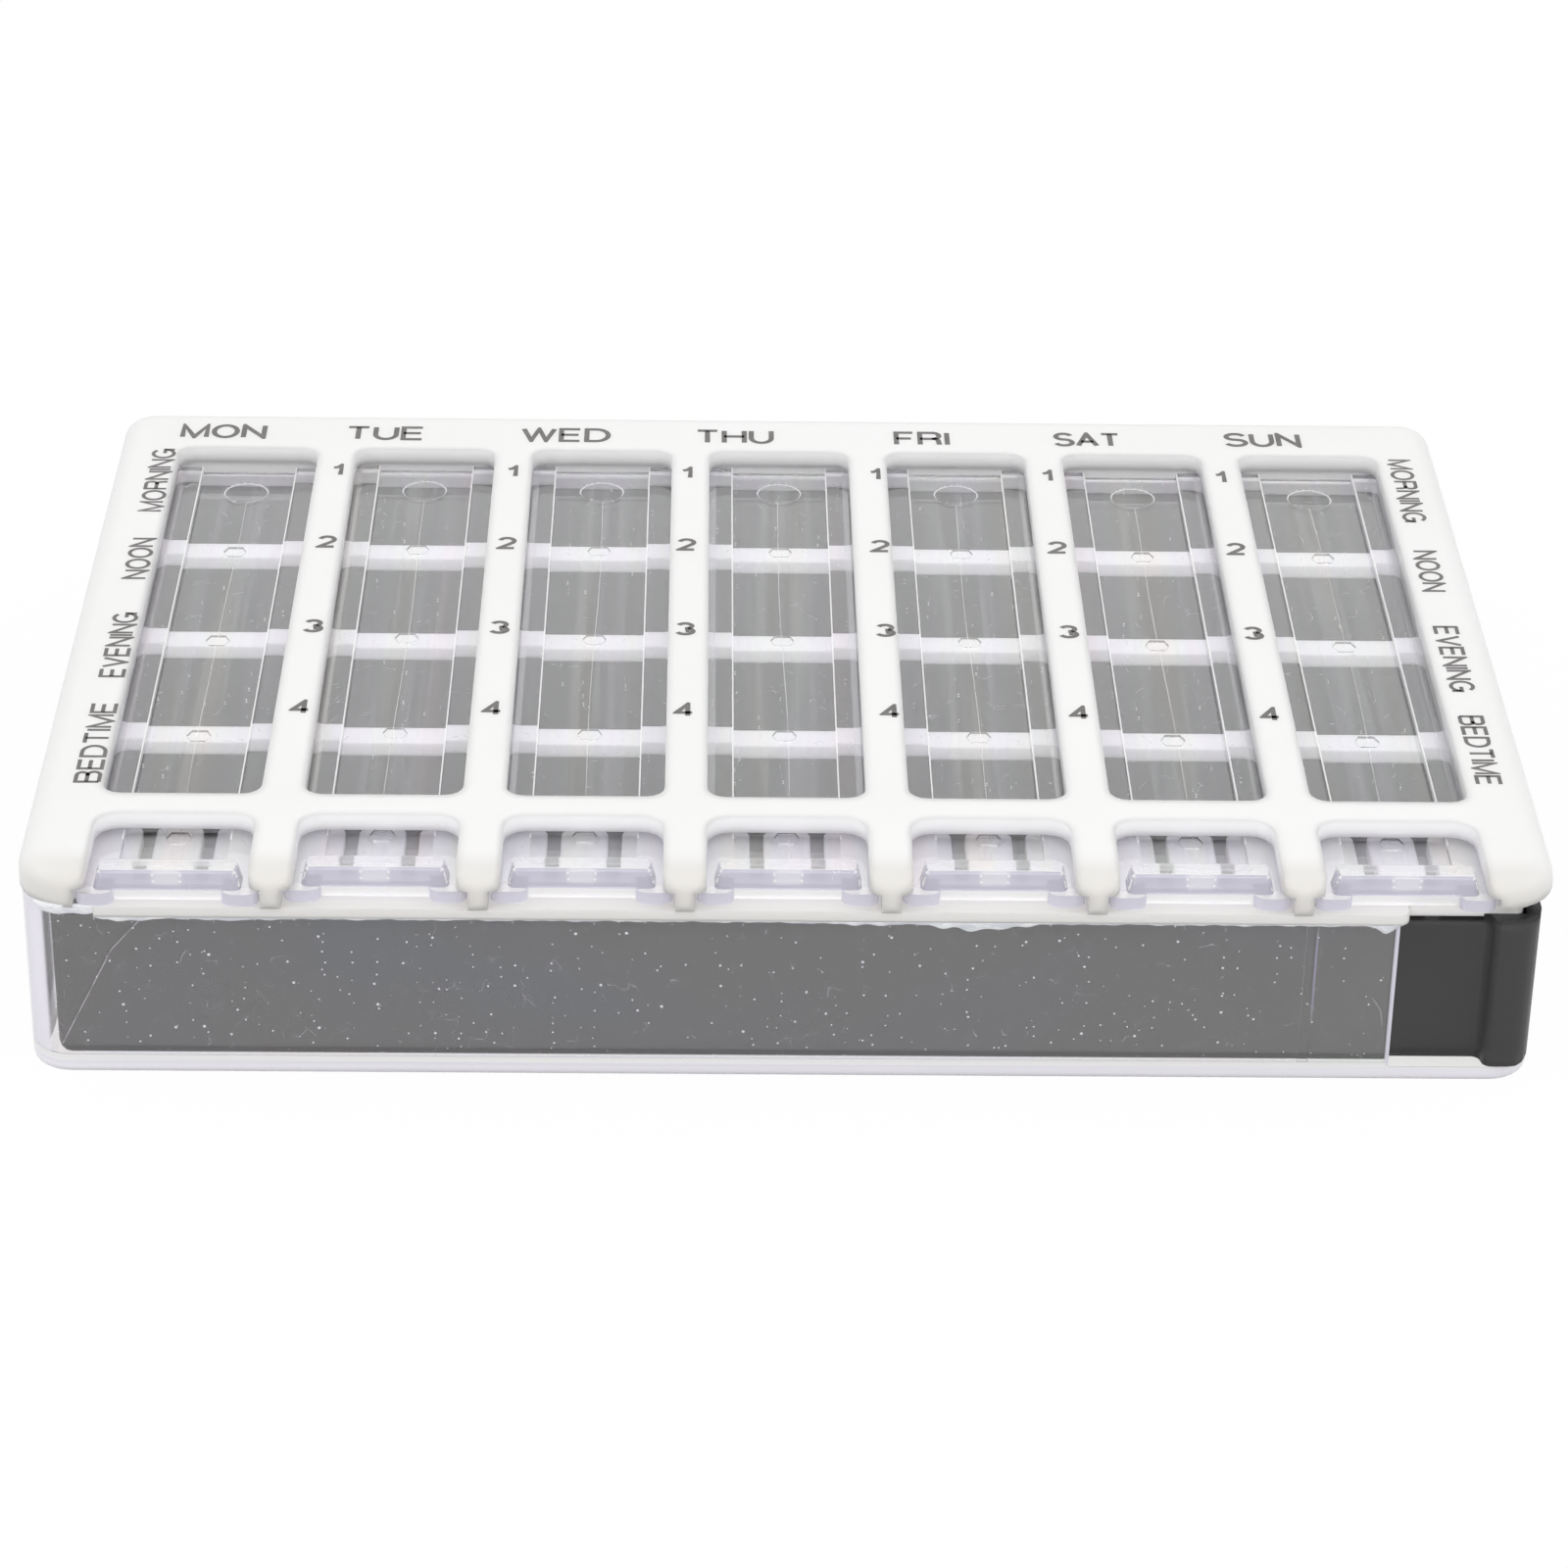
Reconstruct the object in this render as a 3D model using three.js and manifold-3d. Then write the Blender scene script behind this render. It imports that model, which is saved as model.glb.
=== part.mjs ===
// A weekly pill organizer: a white top frame and deck on a clear sleeve, seven clear sliding lids, one for
// each day, and a dark tray with four rows of wells that slides out to the right.
// Millimetres. X runs along the days, Y from front to back, Z up. The origin is the middle of the underside.

import * as THREE from "three";
import { mergeVertices } from "three/addons/utils/BufferGeometryUtils.js";
import Module from "manifold-3d";

const wasm = await Module();
wasm.setup();

// The grid of cells: one column for each day, one row for each time of day
const days = ["mon", "tue", "wed", "thu", "fri", "sat", "sun"];
const rowCount = 4;
const columnPitch = 26;
const rowPitch = 27.1;

// The margins from the grid's edges to the outside of the top frame
const sideMargin = 6.3;
const frontMargin = 17.05;
const rearMargin = 10.55;

// Clearances
const slidingGap = 0.3;
const lidTopGap = 0.55;
const trayEndGap = 1.9;
const ridgeTopGap = 1;

// The top frame
const frameThickness = 5;
const frameFrontCornerRadius = 7.5;
const frameRearCornerRadius = 4.6;
const frameEdgeRadius = 2.8;
const frameBarWidth = 5.5;
const windowFrontInset = 3.45;
const windowRearInset = 2.1;
const windowCornerRadius = 2.4;
const bayStripWidth = 5;
const bayCornerRadius = 3;
const channelHeight = 2.55;
const lidRibWidth = 2.4;
const channelRearInset = 1.35;
const pocketWall = 1.6;
const reliefHeight = 1.1;
const reliefDepth = 9;

// The deck
const deckThickness = 1.9;
const deckBarWidth = 4;
const deckCrossbarWidth = 4.3;
const deckRimDepth = 1.6;
const openingCornerRadius = 1.5;
const lipThickness = 1.4;
const lipSetback = 0.1;
const lipEndInset = 10;
const lipOverhang = 1.2;
const lipCornerRadius = 1.5;
const deckCornerRadius = 1.5;
const tongueWidth = 6;
const tongueLength = 15.5;
const tongueCornerRadius = 1;
const slotWidth = 1.8;
const bumpWidth = 3.7;
const bumpDepth = 2.9;
const bumpHeight = 0.2;
const bumpSetback = 2.1;

// The clear sleeve
const sleeveInset = 0.5;
const sleeveEndInset = 1.4;
const sleeveWall = 1.8;
const sleeveFloor = 2.2;
const sleeveCornerRadius = 5.4;
const sleeveEdgeRadius = 0.9;
const gripCutLength = 18.5;
const detentWidth = 1.3;
const detentThickness = 0.15;
const detentInset = 10.3;

// The tray
const wellDepth = 18.9;
const wellWall = 1.6;
const wellCornerRadius = 1.6;
const trayFloor = 1.4;
const trayCornerRadius = 1.75;
const fasciaThickness = 1.8;
const fasciaCornerRadius = 2.8;
const ridgeWidth = 6.1;
const trayRightInset = 0.4;

// The lids
const lidSetback = 1.2;
const lidCornerRadius = 1.5;
const railWidth = 4.7;
const panelThickness = 0.85;
const footLength = 1.6;
const gripTopWidth = 17.6;
const gripFootWidth = 18.6;
const gripDepth = 3.4;
const gripHeight = 2.6;
const gripSlope = 0.3;
const gripSetback = 1.3;
const gripCornerRadius = 0.9;
const gripEdgeRadius = 0.45;
const dimpleWidth = 3.3;
const dimpleDepth = 2.9;
const dimpleRecess = 0.35;
const gateMarkRadius = 3.3;
const gateMarkRecess = 0.2;
const gateMarkInset = 6.5;

// How far each lid stands forward of its closed place, where it isn't pushed fully home
const lidRestShifts = { mon: 1.2, sat: 0.5, sun: 0.5 };

// Shares of a hexagon's half width and half depth at which its corners lie
const hexagonCornerShares = [[1, 0], [0.62, 1], [-0.62, 1], [-1, 0], [-0.62, -1], [0.62, -1]];

// How finely round shapes are cut, and by how much a cut runs past the face it opens
const cornerSteps = 7;
const edgeSteps = 5;
const gripEdgeSteps = 3;
const curveSteps = 2;
const gateMarkSteps = 20;
const overrun = 1;
const mergeTolerance = 1e-4;
const leastTurn = 1e-3;

// Heights
const trayLow = sleeveFloor + slidingGap;
const trayHigh = trayLow + trayFloor + wellDepth;
const deckLow = trayHigh + slidingGap;
const deckHigh = deckLow + deckThickness;
const frameHigh = deckHigh + frameThickness;
const channelHigh = deckHigh + channelHeight;
const lidLow = deckHigh + slidingGap;
const railHigh = channelHigh - lidTopGap;
const panelHigh = lidLow + panelThickness;
const lipLow = deckHigh - lipThickness;

// Places across the width
const gridHalf = (days.length * columnPitch) / 2;
const frameHalf = gridHalf + sideMargin;
const sleeveLeft = -frameHalf + sleeveInset;
const sleeveRight = frameHalf - sleeveEndInset;
const sleeveWallEnd = sleeveRight - gripCutLength;
const sleeveInnerLeft = sleeveLeft + sleeveWall;
const trayLeft = sleeveInnerLeft + trayEndGap;
const trayRight = sleeveRight - trayRightInset;
const fasciaInner = trayRight - fasciaThickness;
const deckLeft = sleeveInnerLeft + slidingGap;
const deckRight = fasciaInner - slidingGap;
const channelWidth = columnPitch - lidRibWidth;
const windowWidth = columnPitch - frameBarWidth;
const lidWidth = channelWidth - 2 * slidingGap;

// Places from front to back
const depth = frontMargin + rowCount * rowPitch + rearMargin;
const frameFront = -depth / 2;
const frameRear = depth / 2;
const gridFront = frameFront + frontMargin;
const gridRear = frameRear - rearMargin;
const sleeveFront = frameFront + sleeveInset;
const sleeveRear = frameRear - sleeveInset;
const trayFront = sleeveFront + sleeveWall + slidingGap;
const trayRear = sleeveRear - sleeveWall - slidingGap;
const ridgeFront = sleeveFront - slidingGap;
const ridgeRear = sleeveRear + slidingGap;
const windowFront = gridFront + windowFrontInset;
const windowRear = gridRear - windowRearInset;
const bayRear = windowFront - bayStripWidth;
const channelRear = gridRear - channelRearInset;
const lidRear = channelRear - slidingGap;
const lidFront = frameFront + lidSetback;
const openingFront = gridFront + deckCrossbarWidth / 2;
const bumpY = openingFront - bumpSetback;

const columnXs = days.map((day, column) => (column + 1 / 2) * columnPitch - gridHalf);
const rowYs = Array.from({ length: rowCount }, (_, row) => gridFront + (row + 1 / 2) * rowPitch);

// A closed geometry as a solid that can be joined and cut
function solidOf(geometry) {
  const bare = geometry.index ? geometry.toNonIndexed() : geometry.clone();
  bare.deleteAttribute("normal");
  bare.deleteAttribute("uv");
  const merged = mergeVertices(bare, mergeTolerance);
  const vertProperties = merged.getAttribute("position").array;
  const triVerts = new Uint32Array(merged.index.array);
  return new wasm.Manifold(new wasm.Mesh({ numProp: 3, vertProperties, triVerts }));
}

const joined = (solids) => solids.reduce((whole, next) => whole.add(next));

// A plain box between two corners
function box([x0, y0, z0], [x1, y1, z1]) {
  const geometry = new THREE.BoxGeometry(x1 - x0, y1 - y0, z1 - z0);
  geometry.translate((x0 + x1) / 2, (y0 + y1) / 2, (z0 + z1) / 2);
  return solidOf(geometry);
}

// Whether an outline turns at a point
function turnsAt(before, point, after) {
  const arriving = point.clone().sub(before).normalize();
  const leaving = after.clone().sub(point).normalize();
  return Math.abs(arriving.cross(leaving)) > leastTurn;
}

// An outline carried straight up from one height to another, without its doubled points and those on a line
function prism(outline, low, high) {
  const points = outline.getPoints(curveSteps);
  const distinct = points.filter((point, i) => point.distanceTo(points.at(i - 1)) > mergeTolerance);
  const following = (i) => distinct[(i + 1) % distinct.length];
  const corners = distinct.filter((point, i) => turnsAt(distinct.at(i - 1), point, following(i)));
  const shape = new THREE.Shape(corners);
  const geometry = new THREE.ExtrudeGeometry(shape, { depth: high - low, bevelEnabled: false });
  geometry.translate(0, 0, low);
  return solidOf(geometry);
}

// A rectangle with a radius at each corner: front left, front right, rear right, rear left
function rectangle(x0, x1, y0, y1, [frontLeft, frontRight, rearRight, rearLeft]) {
  const outline = new THREE.Shape();
  outline.moveTo(x0 + frontLeft, y0);
  outline.lineTo(x1 - frontRight, y0);
  if (frontRight) outline.absarc(x1 - frontRight, y0 + frontRight, frontRight, -Math.PI / 2, 0);
  outline.lineTo(x1, y1 - rearRight);
  if (rearRight) outline.absarc(x1 - rearRight, y1 - rearRight, rearRight, 0, Math.PI / 2);
  outline.lineTo(x0 + rearLeft, y1);
  if (rearLeft) outline.absarc(x0 + rearLeft, y1 - rearLeft, rearLeft, Math.PI / 2, Math.PI);
  outline.lineTo(x0, y0 + frontLeft);
  if (frontLeft) outline.absarc(x0 + frontLeft, y0 + frontLeft, frontLeft, Math.PI, Math.PI * 3 / 2);
  return outline;
}

const evenRectangle = (x0, x1, y0, y1, radius) => rectangle(x0, x1, y0, y1, Array(4).fill(radius));

// The hexagon of a latch bump or of the dimple it clicks into
function hexagon(x, y, width, depthAcross) {
  const corners = hexagonCornerShares.map(
    ([across, along]) => new THREE.Vector2(x + (across * width) / 2, y + (along * depthAcross) / 2),
  );
  return new THREE.Shape(corners);
}

// One level of a rounded block: its plan, drawn in by an inset, at a height
function levelPoints({ x0, x1, y0, y1, radii }, inset, z) {
  const [frontLeft, frontRight, rearRight, rearLeft] = radii;
  const corners = [
    [x1 - frontRight, y0 + frontRight, frontRight, -Math.PI / 2],
    [x1 - rearRight, y1 - rearRight, rearRight, 0],
    [x0 + rearLeft, y1 - rearLeft, rearLeft, Math.PI / 2],
    [x0 + frontLeft, y0 + frontLeft, frontLeft, Math.PI],
  ];
  return corners.flatMap(([x, y, radius, start]) =>
    Array.from({ length: cornerSteps + 1 }, (_, step) => {
      const angle = start + (step / cornerSteps) * (Math.PI / 2);
      const reach = radius - inset;
      return [x + reach * Math.cos(angle), y + reach * Math.sin(angle), z];
    }),
  );
}

// A skin over levels with as many points each, closed by a flat cap below and above
function loft(levels) {
  const count = levels[0].length;
  const last = (levels.length - 1) * count;
  const index = [];
  levels.slice(1).forEach((_, level) => {
    for (let i = 0; i < count; i++) {
      const next = (i + 1) % count;
      const below = level * count;
      const above = below + count;
      index.push(below + i, below + next, above + next, below + i, above + next, above + i);
    }
  });
  for (let i = 1; i < count - 1; i++) {
    index.push(0, i + 1, i);
    index.push(last, last + i, last + i + 1);
  }
  const geometry = new THREE.BufferGeometry();
  geometry.setAttribute("position", new THREE.Float32BufferAttribute(levels.flat(2), 3));
  geometry.setIndex(index);
  return solidOf(geometry);
}

// A block with upright corners rounded by its plan's radii and with round edges below and above
function roundedBlock(plan, low, high, lowRadius, highRadius) {
  const turns = Array.from({ length: edgeSteps + 1 }, (_, step) => (step / edgeSteps) * (Math.PI / 2));
  const lower = turns.map((turn) =>
    levelPoints(plan, lowRadius * (1 - Math.sin(turn)), low + lowRadius * (1 - Math.cos(turn))),
  );
  const upper = turns.map((turn) =>
    levelPoints(plan, highRadius * (1 - Math.cos(turn)), high - highRadius * (1 - Math.sin(turn))),
  );
  return loft([...(lowRadius ? lower : [lower[0]]), ...(highRadius ? upper : [upper[0]])]);
}

// A finger bay: open at the front, where the bars beside it round off down to the ribs between the lids
function bayOutline(x) {
  const half = windowWidth / 2;
  const nose = (frameBarWidth - lidRibWidth) / 2;
  const round = bayCornerRadius;
  const outline = new THREE.Shape();
  outline.moveTo(x - half - nose, frameFront - overrun);
  outline.lineTo(x + half + nose, frameFront - overrun);
  outline.lineTo(x + half + nose, frameFront);
  outline.absarc(x + half + nose, frameFront + nose, nose, -Math.PI / 2, -Math.PI, true);
  outline.lineTo(x + half, bayRear - round);
  outline.absarc(x + half - round, bayRear - round, round, 0, Math.PI / 2);
  outline.lineTo(x - half + round, bayRear);
  outline.absarc(x - half + round, bayRear - round, round, Math.PI / 2, Math.PI);
  outline.lineTo(x - half, frameFront + nose);
  outline.absarc(x - half - nose, frameFront + nose, nose, 0, -Math.PI / 2, true);
  return outline;
}

// Top frame: a thick plate with windows, finger bays, the lids' channels below and cored out behind them.
// Its two right corners are relieved below, over the tray's finger ridges.
function makeTopFrame() {
  const plan = { x0: -frameHalf, x1: frameHalf, y0: frameFront, y1: frameRear };
  plan.radii = [frameFrontCornerRadius, frameFrontCornerRadius, frameRearCornerRadius, frameRearCornerRadius];
  const plate = roundedBlock(plan, deckHigh, frameHigh, 0, frameEdgeRadius);
  const cutHigh = frameHigh + overrun;
  const cutLow = deckHigh - overrun;
  const pocketFront = channelRear + pocketWall;
  const pocketRear = frameRear - sleeveInset - sleeveWall - slidingGap;
  const cuts = columnXs.flatMap((x) => {
    const window = evenRectangle(
      x - windowWidth / 2, x + windowWidth / 2, windowFront, windowRear, windowCornerRadius,
    );
    const channelHalf = channelWidth / 2;
    return [
      prism(window, cutLow, cutHigh),
      prism(bayOutline(x), cutLow, cutHigh),
      box([x - channelHalf, frameFront - overrun, cutLow], [x + channelHalf, channelRear, channelHigh]),
      box([x - channelHalf, pocketFront, cutLow], [x + channelHalf, pocketRear, channelHigh]),
    ];
  });
  const reliefLeft = gridHalf - lidRibWidth / 2;
  const reliefHigh = deckHigh + reliefHeight;
  const reliefs = [
    [frameFront - overrun, frameFront + reliefDepth],
    [frameRear - reliefDepth, frameRear + overrun],
  ].map(([front, rear]) => box([reliefLeft, front, cutLow], [frameHalf + overrun, rear, reliefHigh]));
  return plate.subtract(joined([...cuts, ...reliefs]));
}

// Deck: the grid plate under the lids, inside the sleeve's walls, with a lip over the front and rear walls.
// Along these two walls the plate is as thin as the lips.
function makeDeck() {
  const leftRadius = sleeveCornerRadius - sleeveWall;
  const plateFront = trayFront;
  const plateRear = trayRear;
  const plate = prism(
    rectangle(deckLeft, deckRight, plateFront, plateRear, [
      leftRadius, deckCornerRadius, deckCornerRadius, leftRadius,
    ]),
    deckLow,
    deckHigh,
  );
  const lipLeft = -frameHalf + lipEndInset;
  const lipRight = sleeveWallEnd + lipOverhang;
  const lipFront = frameFront + lipSetback;
  const lipRear = frameRear - lipSetback;
  const frontLip = rectangle(lipLeft, lipRight, lipFront, plateFront + overrun, [0, lipCornerRadius, 0, 0]);
  const rearLip = rectangle(lipLeft, lipRight, plateRear - overrun, lipRear, [0, 0, lipCornerRadius, 0]);
  const bumps = columnXs.map((x) =>
    prism(hexagon(x, bumpY, bumpWidth, bumpDepth), deckLow, deckHigh + bumpHeight),
  );
  const lips = [frontLip, rearLip].map((outline) => prism(outline, lipLow, deckHigh));
  const body = joined([plate, ...lips, ...bumps]);

  const halfWidth = (columnPitch - deckBarWidth) / 2;
  const halfDepth = (rowPitch - deckCrossbarWidth) / 2;
  const cutLow = deckLow - overrun;
  const cutHigh = deckHigh + overrun;
  const openings = columnXs.flatMap((x) => rowYs.map((y) => {
    const outline = evenRectangle(
      x - halfWidth, x + halfWidth, y - halfDepth, y + halfDepth, openingCornerRadius,
    );
    return prism(outline, cutLow, cutHigh);
  }));
  const slots = columnXs.flatMap((x) => [-1, 1].map((side) => {
    const inner = x + (side * tongueWidth) / 2;
    const outer = inner + side * slotWidth;
    return prism(slotOutline(inner, outer, side), cutLow, cutHigh);
  }));
  const rims = [
    [plateFront - overrun, plateFront + deckRimDepth],
    [plateRear - deckRimDepth, plateRear + overrun],
  ].map(([front, rear]) => box([deckLeft - overrun, front, cutLow], [deckRight + overrun, rear, lipLow]));
  return body.subtract(joined([...openings, ...slots, ...rims]));
}

// A slot beside a latch tongue, flared where it meets the first opening so that the tongue's corner is round
function slotOutline(inner, outer, side) {
  const end = openingFront - tongueLength;
  const flare = tongueCornerRadius;
  const outline = new THREE.Shape();
  outline.moveTo(inner, end);
  outline.lineTo(outer, end);
  outline.lineTo(outer, openingFront - flare);
  outline.quadraticCurveTo(outer, openingFront, outer + side * flare, openingFront);
  outline.lineTo(outer + side * flare, openingFront + overrun);
  outline.lineTo(inner - side * flare, openingFront + overrun);
  outline.lineTo(inner - side * flare, openingFront);
  outline.quadraticCurveTo(inner, openingFront, inner, openingFront - flare);
  return outline;
}

// Clear sleeve: floor, left end and long walls, open above and at the right, where the walls stop short
function makeClearSleeve() {
  const plan = { x0: sleeveLeft, x1: sleeveRight, y0: sleeveFront, y1: sleeveRear };
  plan.radii = Array(4).fill(sleeveCornerRadius);
  const shell = roundedBlock(plan, 0, deckHigh, sleeveEdgeRadius, 0);
  const innerRadius = sleeveCornerRadius - sleeveWall;
  const innerFront = sleeveFront + sleeveWall;
  const innerRear = sleeveRear - sleeveWall;
  const hollow = rectangle(sleeveInnerLeft, sleeveRight + overrun, innerFront, innerRear, [
    innerRadius, 0, 0, innerRadius,
  ]);
  const cutHigh = deckHigh + overrun;
  const notchLeft = -frameHalf + lipEndInset - slidingGap;
  const notchDepth = sleeveWall + overrun;
  const open = shell
    .subtract(prism(hollow, sleeveFloor, cutHigh))
    .subtract(box(
      [sleeveWallEnd, sleeveFront - overrun, sleeveFloor],
      [sleeveRight + overrun, sleeveRear + overrun, cutHigh],
    ))
    .subtract(box([notchLeft, innerFront - notchDepth, lipLow], [sleeveRight, innerFront + overrun, cutHigh]))
    .subtract(box([notchLeft, innerRear - overrun, lipLow], [sleeveRight, innerRear + notchDepth, cutHigh]));
  const detentRight = sleeveWallEnd - detentInset;
  const detentLeft = detentRight - detentWidth;
  const detents = [[innerFront - sleeveWall / 2, innerFront + detentThickness],
    [innerRear - detentThickness, innerRear + sleeveWall / 2]];
  return detents.reduce(
    (sleeve, [front, rear]) =>
      sleeve.add(box([detentLeft, front, sleeveFloor / 2], [detentRight, rear, lipLow - overrun])),
    open,
  );
}

// The tray's right end: a low wall across with a finger ridge round each corner, proud of the sleeve's walls
function fasciaOutline() {
  const ridgeLeft = trayRight - ridgeWidth;
  const frontBend = (trayFront - ridgeFront) / 2;
  const rearBend = (ridgeRear - trayRear) / 2;
  const corner = fasciaCornerRadius;
  const outline = new THREE.Shape();
  outline.moveTo(ridgeLeft - frontBend, trayFront);
  outline.absarc(ridgeLeft - frontBend, trayFront - frontBend, frontBend, Math.PI / 2, 0, true);
  outline.absarc(ridgeLeft + frontBend, trayFront - frontBend, frontBend, Math.PI, Math.PI * 3 / 2);
  outline.lineTo(trayRight - corner, ridgeFront);
  outline.absarc(trayRight - corner, ridgeFront + corner, corner, -Math.PI / 2, 0);
  outline.lineTo(trayRight, ridgeRear - corner);
  outline.absarc(trayRight - corner, ridgeRear - corner, corner, 0, Math.PI / 2);
  outline.lineTo(ridgeLeft + rearBend, ridgeRear);
  outline.absarc(ridgeLeft + rearBend, trayRear + rearBend, rearBend, Math.PI / 2, Math.PI);
  outline.absarc(ridgeLeft - rearBend, trayRear + rearBend, rearBend, 0, -Math.PI / 2, true);
  return outline;
}

// The tray seen from the front, as a solid from front to back: its two lower corners are round
function traySection() {
  const radius = trayCornerRadius;
  const outline = rectangle(trayLeft, trayRight, trayLow, deckHigh, [radius, radius, 0, 0]);
  return prism(outline, -ridgeRear - overrun, overrun - ridgeFront).rotate([90, 0, 0]);
}

// Tray: 28 wells in one block, cored out from below at the front and rear, with a grip end at the right
function makePillTray() {
  const blockRight = fasciaInner + fasciaThickness / 2;
  const radius = trayCornerRadius;
  const plan = rectangle(trayLeft, blockRight, trayFront, trayRear, [radius, 0, 0, radius]);
  const block = prism(plan, trayLow, trayHigh);
  const ridgeHigh = deckHigh - ridgeTopGap;
  const crestHigh = deckHigh - slidingGap;
  const cutLeft = trayRight - ridgeWidth - columnPitch;
  const cutRight = trayRight + overrun;
  const cutHigh = crestHigh + overrun;
  const end = prism(fasciaOutline(), trayLow, crestHigh)
    .subtract(box([cutLeft, trayFront, trayHigh], [fasciaInner, trayRear, cutHigh]))
    .subtract(box([cutLeft, ridgeFront - overrun, ridgeHigh], [cutRight, trayFront, cutHigh]))
    .subtract(box([cutLeft, trayRear, ridgeHigh], [cutRight, ridgeRear + overrun, cutHigh]));
  const outer = block.add(end).intersect(traySection());

  const halfWidth = (columnPitch - wellWall) / 2;
  const halfDepth = (rowPitch - wellWall) / 2;
  const wells = columnXs.flatMap((x) => rowYs.map((y) => {
    const outline = evenRectangle(
      x - halfWidth, x + halfWidth, y - halfDepth, y + halfDepth, wellCornerRadius,
    );
    return prism(outline, trayLow + trayFloor, trayHigh + overrun);
  }));
  const coreLeft = -gridHalf + wellWall / 2;
  const coreRight = gridHalf - wellWall / 2;
  const coreHigh = trayHigh - trayFloor;
  const frontCore = box(
    [coreLeft, trayFront + wellWall, trayLow - overrun],
    [coreRight, gridFront - wellWall / 2, coreHigh],
  );
  const rearCore = box(
    [coreLeft, gridRear + wellWall / 2, trayLow - overrun],
    [coreRight, trayRear - wellWall, coreHigh],
  );
  return outer.subtract(joined([...wells, frontCore, rearCore]));
}

// The outline of a lid: rounded at the rear, with a foot on each side of the front
function lidOutline() {
  const half = lidWidth / 2;
  const footInner = half - railWidth;
  const round = lidCornerRadius;
  const notchRear = lidFront + footLength;
  const outline = new THREE.Shape();
  outline.moveTo(-half + round, lidFront);
  outline.lineTo(-footInner - round, lidFront);
  outline.absarc(-footInner - round, lidFront + round, round, -Math.PI / 2, 0);
  outline.lineTo(-footInner, notchRear);
  outline.lineTo(footInner, notchRear);
  outline.lineTo(footInner, lidFront + round);
  outline.absarc(footInner + round, lidFront + round, round, Math.PI, Math.PI * 3 / 2);
  outline.lineTo(half - round, lidFront);
  outline.absarc(half - round, lidFront + round, round, -Math.PI / 2, 0);
  outline.lineTo(half, lidRear - round);
  outline.absarc(half - round, lidRear - round, round, 0, Math.PI / 2);
  outline.lineTo(-half + round, lidRear);
  outline.absarc(-half + round, lidRear - round, round, Math.PI / 2, Math.PI);
  outline.lineTo(-half, lidFront + round);
  outline.absarc(-half + round, lidFront + round, round, Math.PI, Math.PI * 3 / 2);
  return outline;
}

// The grip block near a lid's front, drawn in a little towards its top
function gripBlock() {
  const front = lidFront + gripSetback - gripSlope;
  const rear = front + gripDepth + 2 * gripSlope;
  const radii = Array(4).fill(gripCornerRadius);
  const level = (half, drawnIn, inset, z) => levelPoints(
    { x0: -half, x1: half, y0: front + drawnIn, y1: rear - drawnIn, radii }, inset, z,
  );
  const gripHigh = railHigh + gripHeight;
  const roundedTop = Array.from({ length: gripEdgeSteps + 1 }, (_, step) => {
    const turn = (step / gripEdgeSteps) * (Math.PI / 2);
    const inset = gripEdgeRadius * (1 - Math.cos(turn));
    return level(gripTopWidth / 2, gripSlope, inset, gripHigh - gripEdgeRadius * (1 - Math.sin(turn)));
  });
  return loft([
    level(gripFootWidth / 2, 0, 0, lidLow),
    level(gripFootWidth / 2, 0, 0, railHigh),
    ...roundedTop,
  ]);
}

// Lid: two rails with a thin panel between them, a grip block that overhangs the notch between the feet,
// latch dimples below and a round gate mark above
function makeLid() {
  const panelHalf = lidWidth / 2 - railWidth;
  const plate = prism(lidOutline(), lidLow, railHigh);
  const recess = box(
    [-panelHalf, lidFront - overrun, panelHigh],
    [panelHalf, lidRear + overrun, railHigh + overrun],
  );
  const notch = box(
    [-panelHalf, lidFront - overrun, lidLow - overrun],
    [panelHalf, lidFront + footLength, railHigh],
  );
  const dimples = Array.from({ length: rowCount }, (_, row) => {
    const outline = hexagon(0, bumpY + row * rowPitch, dimpleWidth, dimpleDepth);
    return prism(outline, lidLow - overrun, lidLow + dimpleRecess);
  });
  const markHeight = gateMarkRecess + overrun;
  const mark = new THREE.CylinderGeometry(gateMarkRadius, gateMarkRadius, markHeight, gateMarkSteps);
  mark.rotateX(Math.PI / 2);
  mark.translate(0, lidRear - gateMarkInset, panelHigh - gateMarkRecess + markHeight / 2);
  const grip = gripBlock().subtract(notch);
  return plate.subtract(recess).add(grip).subtract(joined([...dimples, solidOf(mark)]));
}

const whitePlastic = { color: 0xf4f3f1, roughness: 0.4, metalness: 0 };
const greyPlastic = { color: 0x424242, roughness: 0.5, metalness: 0 };
const clearPlastic = { color: 0xeeeef2, roughness: 0.08, metalness: 0, transparent: true, opacity: 0.35 };

// A named mesh of a solid
function meshOf(name, solid, finish) {
  const { vertProperties, triVerts } = solid.getMesh();
  const geometry = new THREE.BufferGeometry();
  geometry.setAttribute("position", new THREE.BufferAttribute(vertProperties, 3));
  geometry.setIndex(new THREE.BufferAttribute(triVerts, 1));
  geometry.computeVertexNormals();
  const mesh = new THREE.Mesh(geometry, new THREE.MeshStandardMaterial(finish));
  mesh.name = name;
  return mesh;
}

const organizer = new THREE.Group();
organizer.add(
  meshOf("top_frame", makeTopFrame(), whitePlastic),
  meshOf("deck", makeDeck(), whitePlastic),
  meshOf("clear_sleeve", makeClearSleeve(), clearPlastic),
  meshOf("pill_tray", makePillTray(), greyPlastic),
);

const lidSolid = makeLid();
days.forEach((day, column) => {
  const lid = meshOf("lid_" + day, lidSolid, clearPlastic);
  lid.position.set(columnXs[column], -(lidRestShifts[day] ?? 0), 0);
  organizer.add(lid);
});

export default organizer;
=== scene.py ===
import math

import bpy
from mathutils import Matrix, Vector


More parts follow.
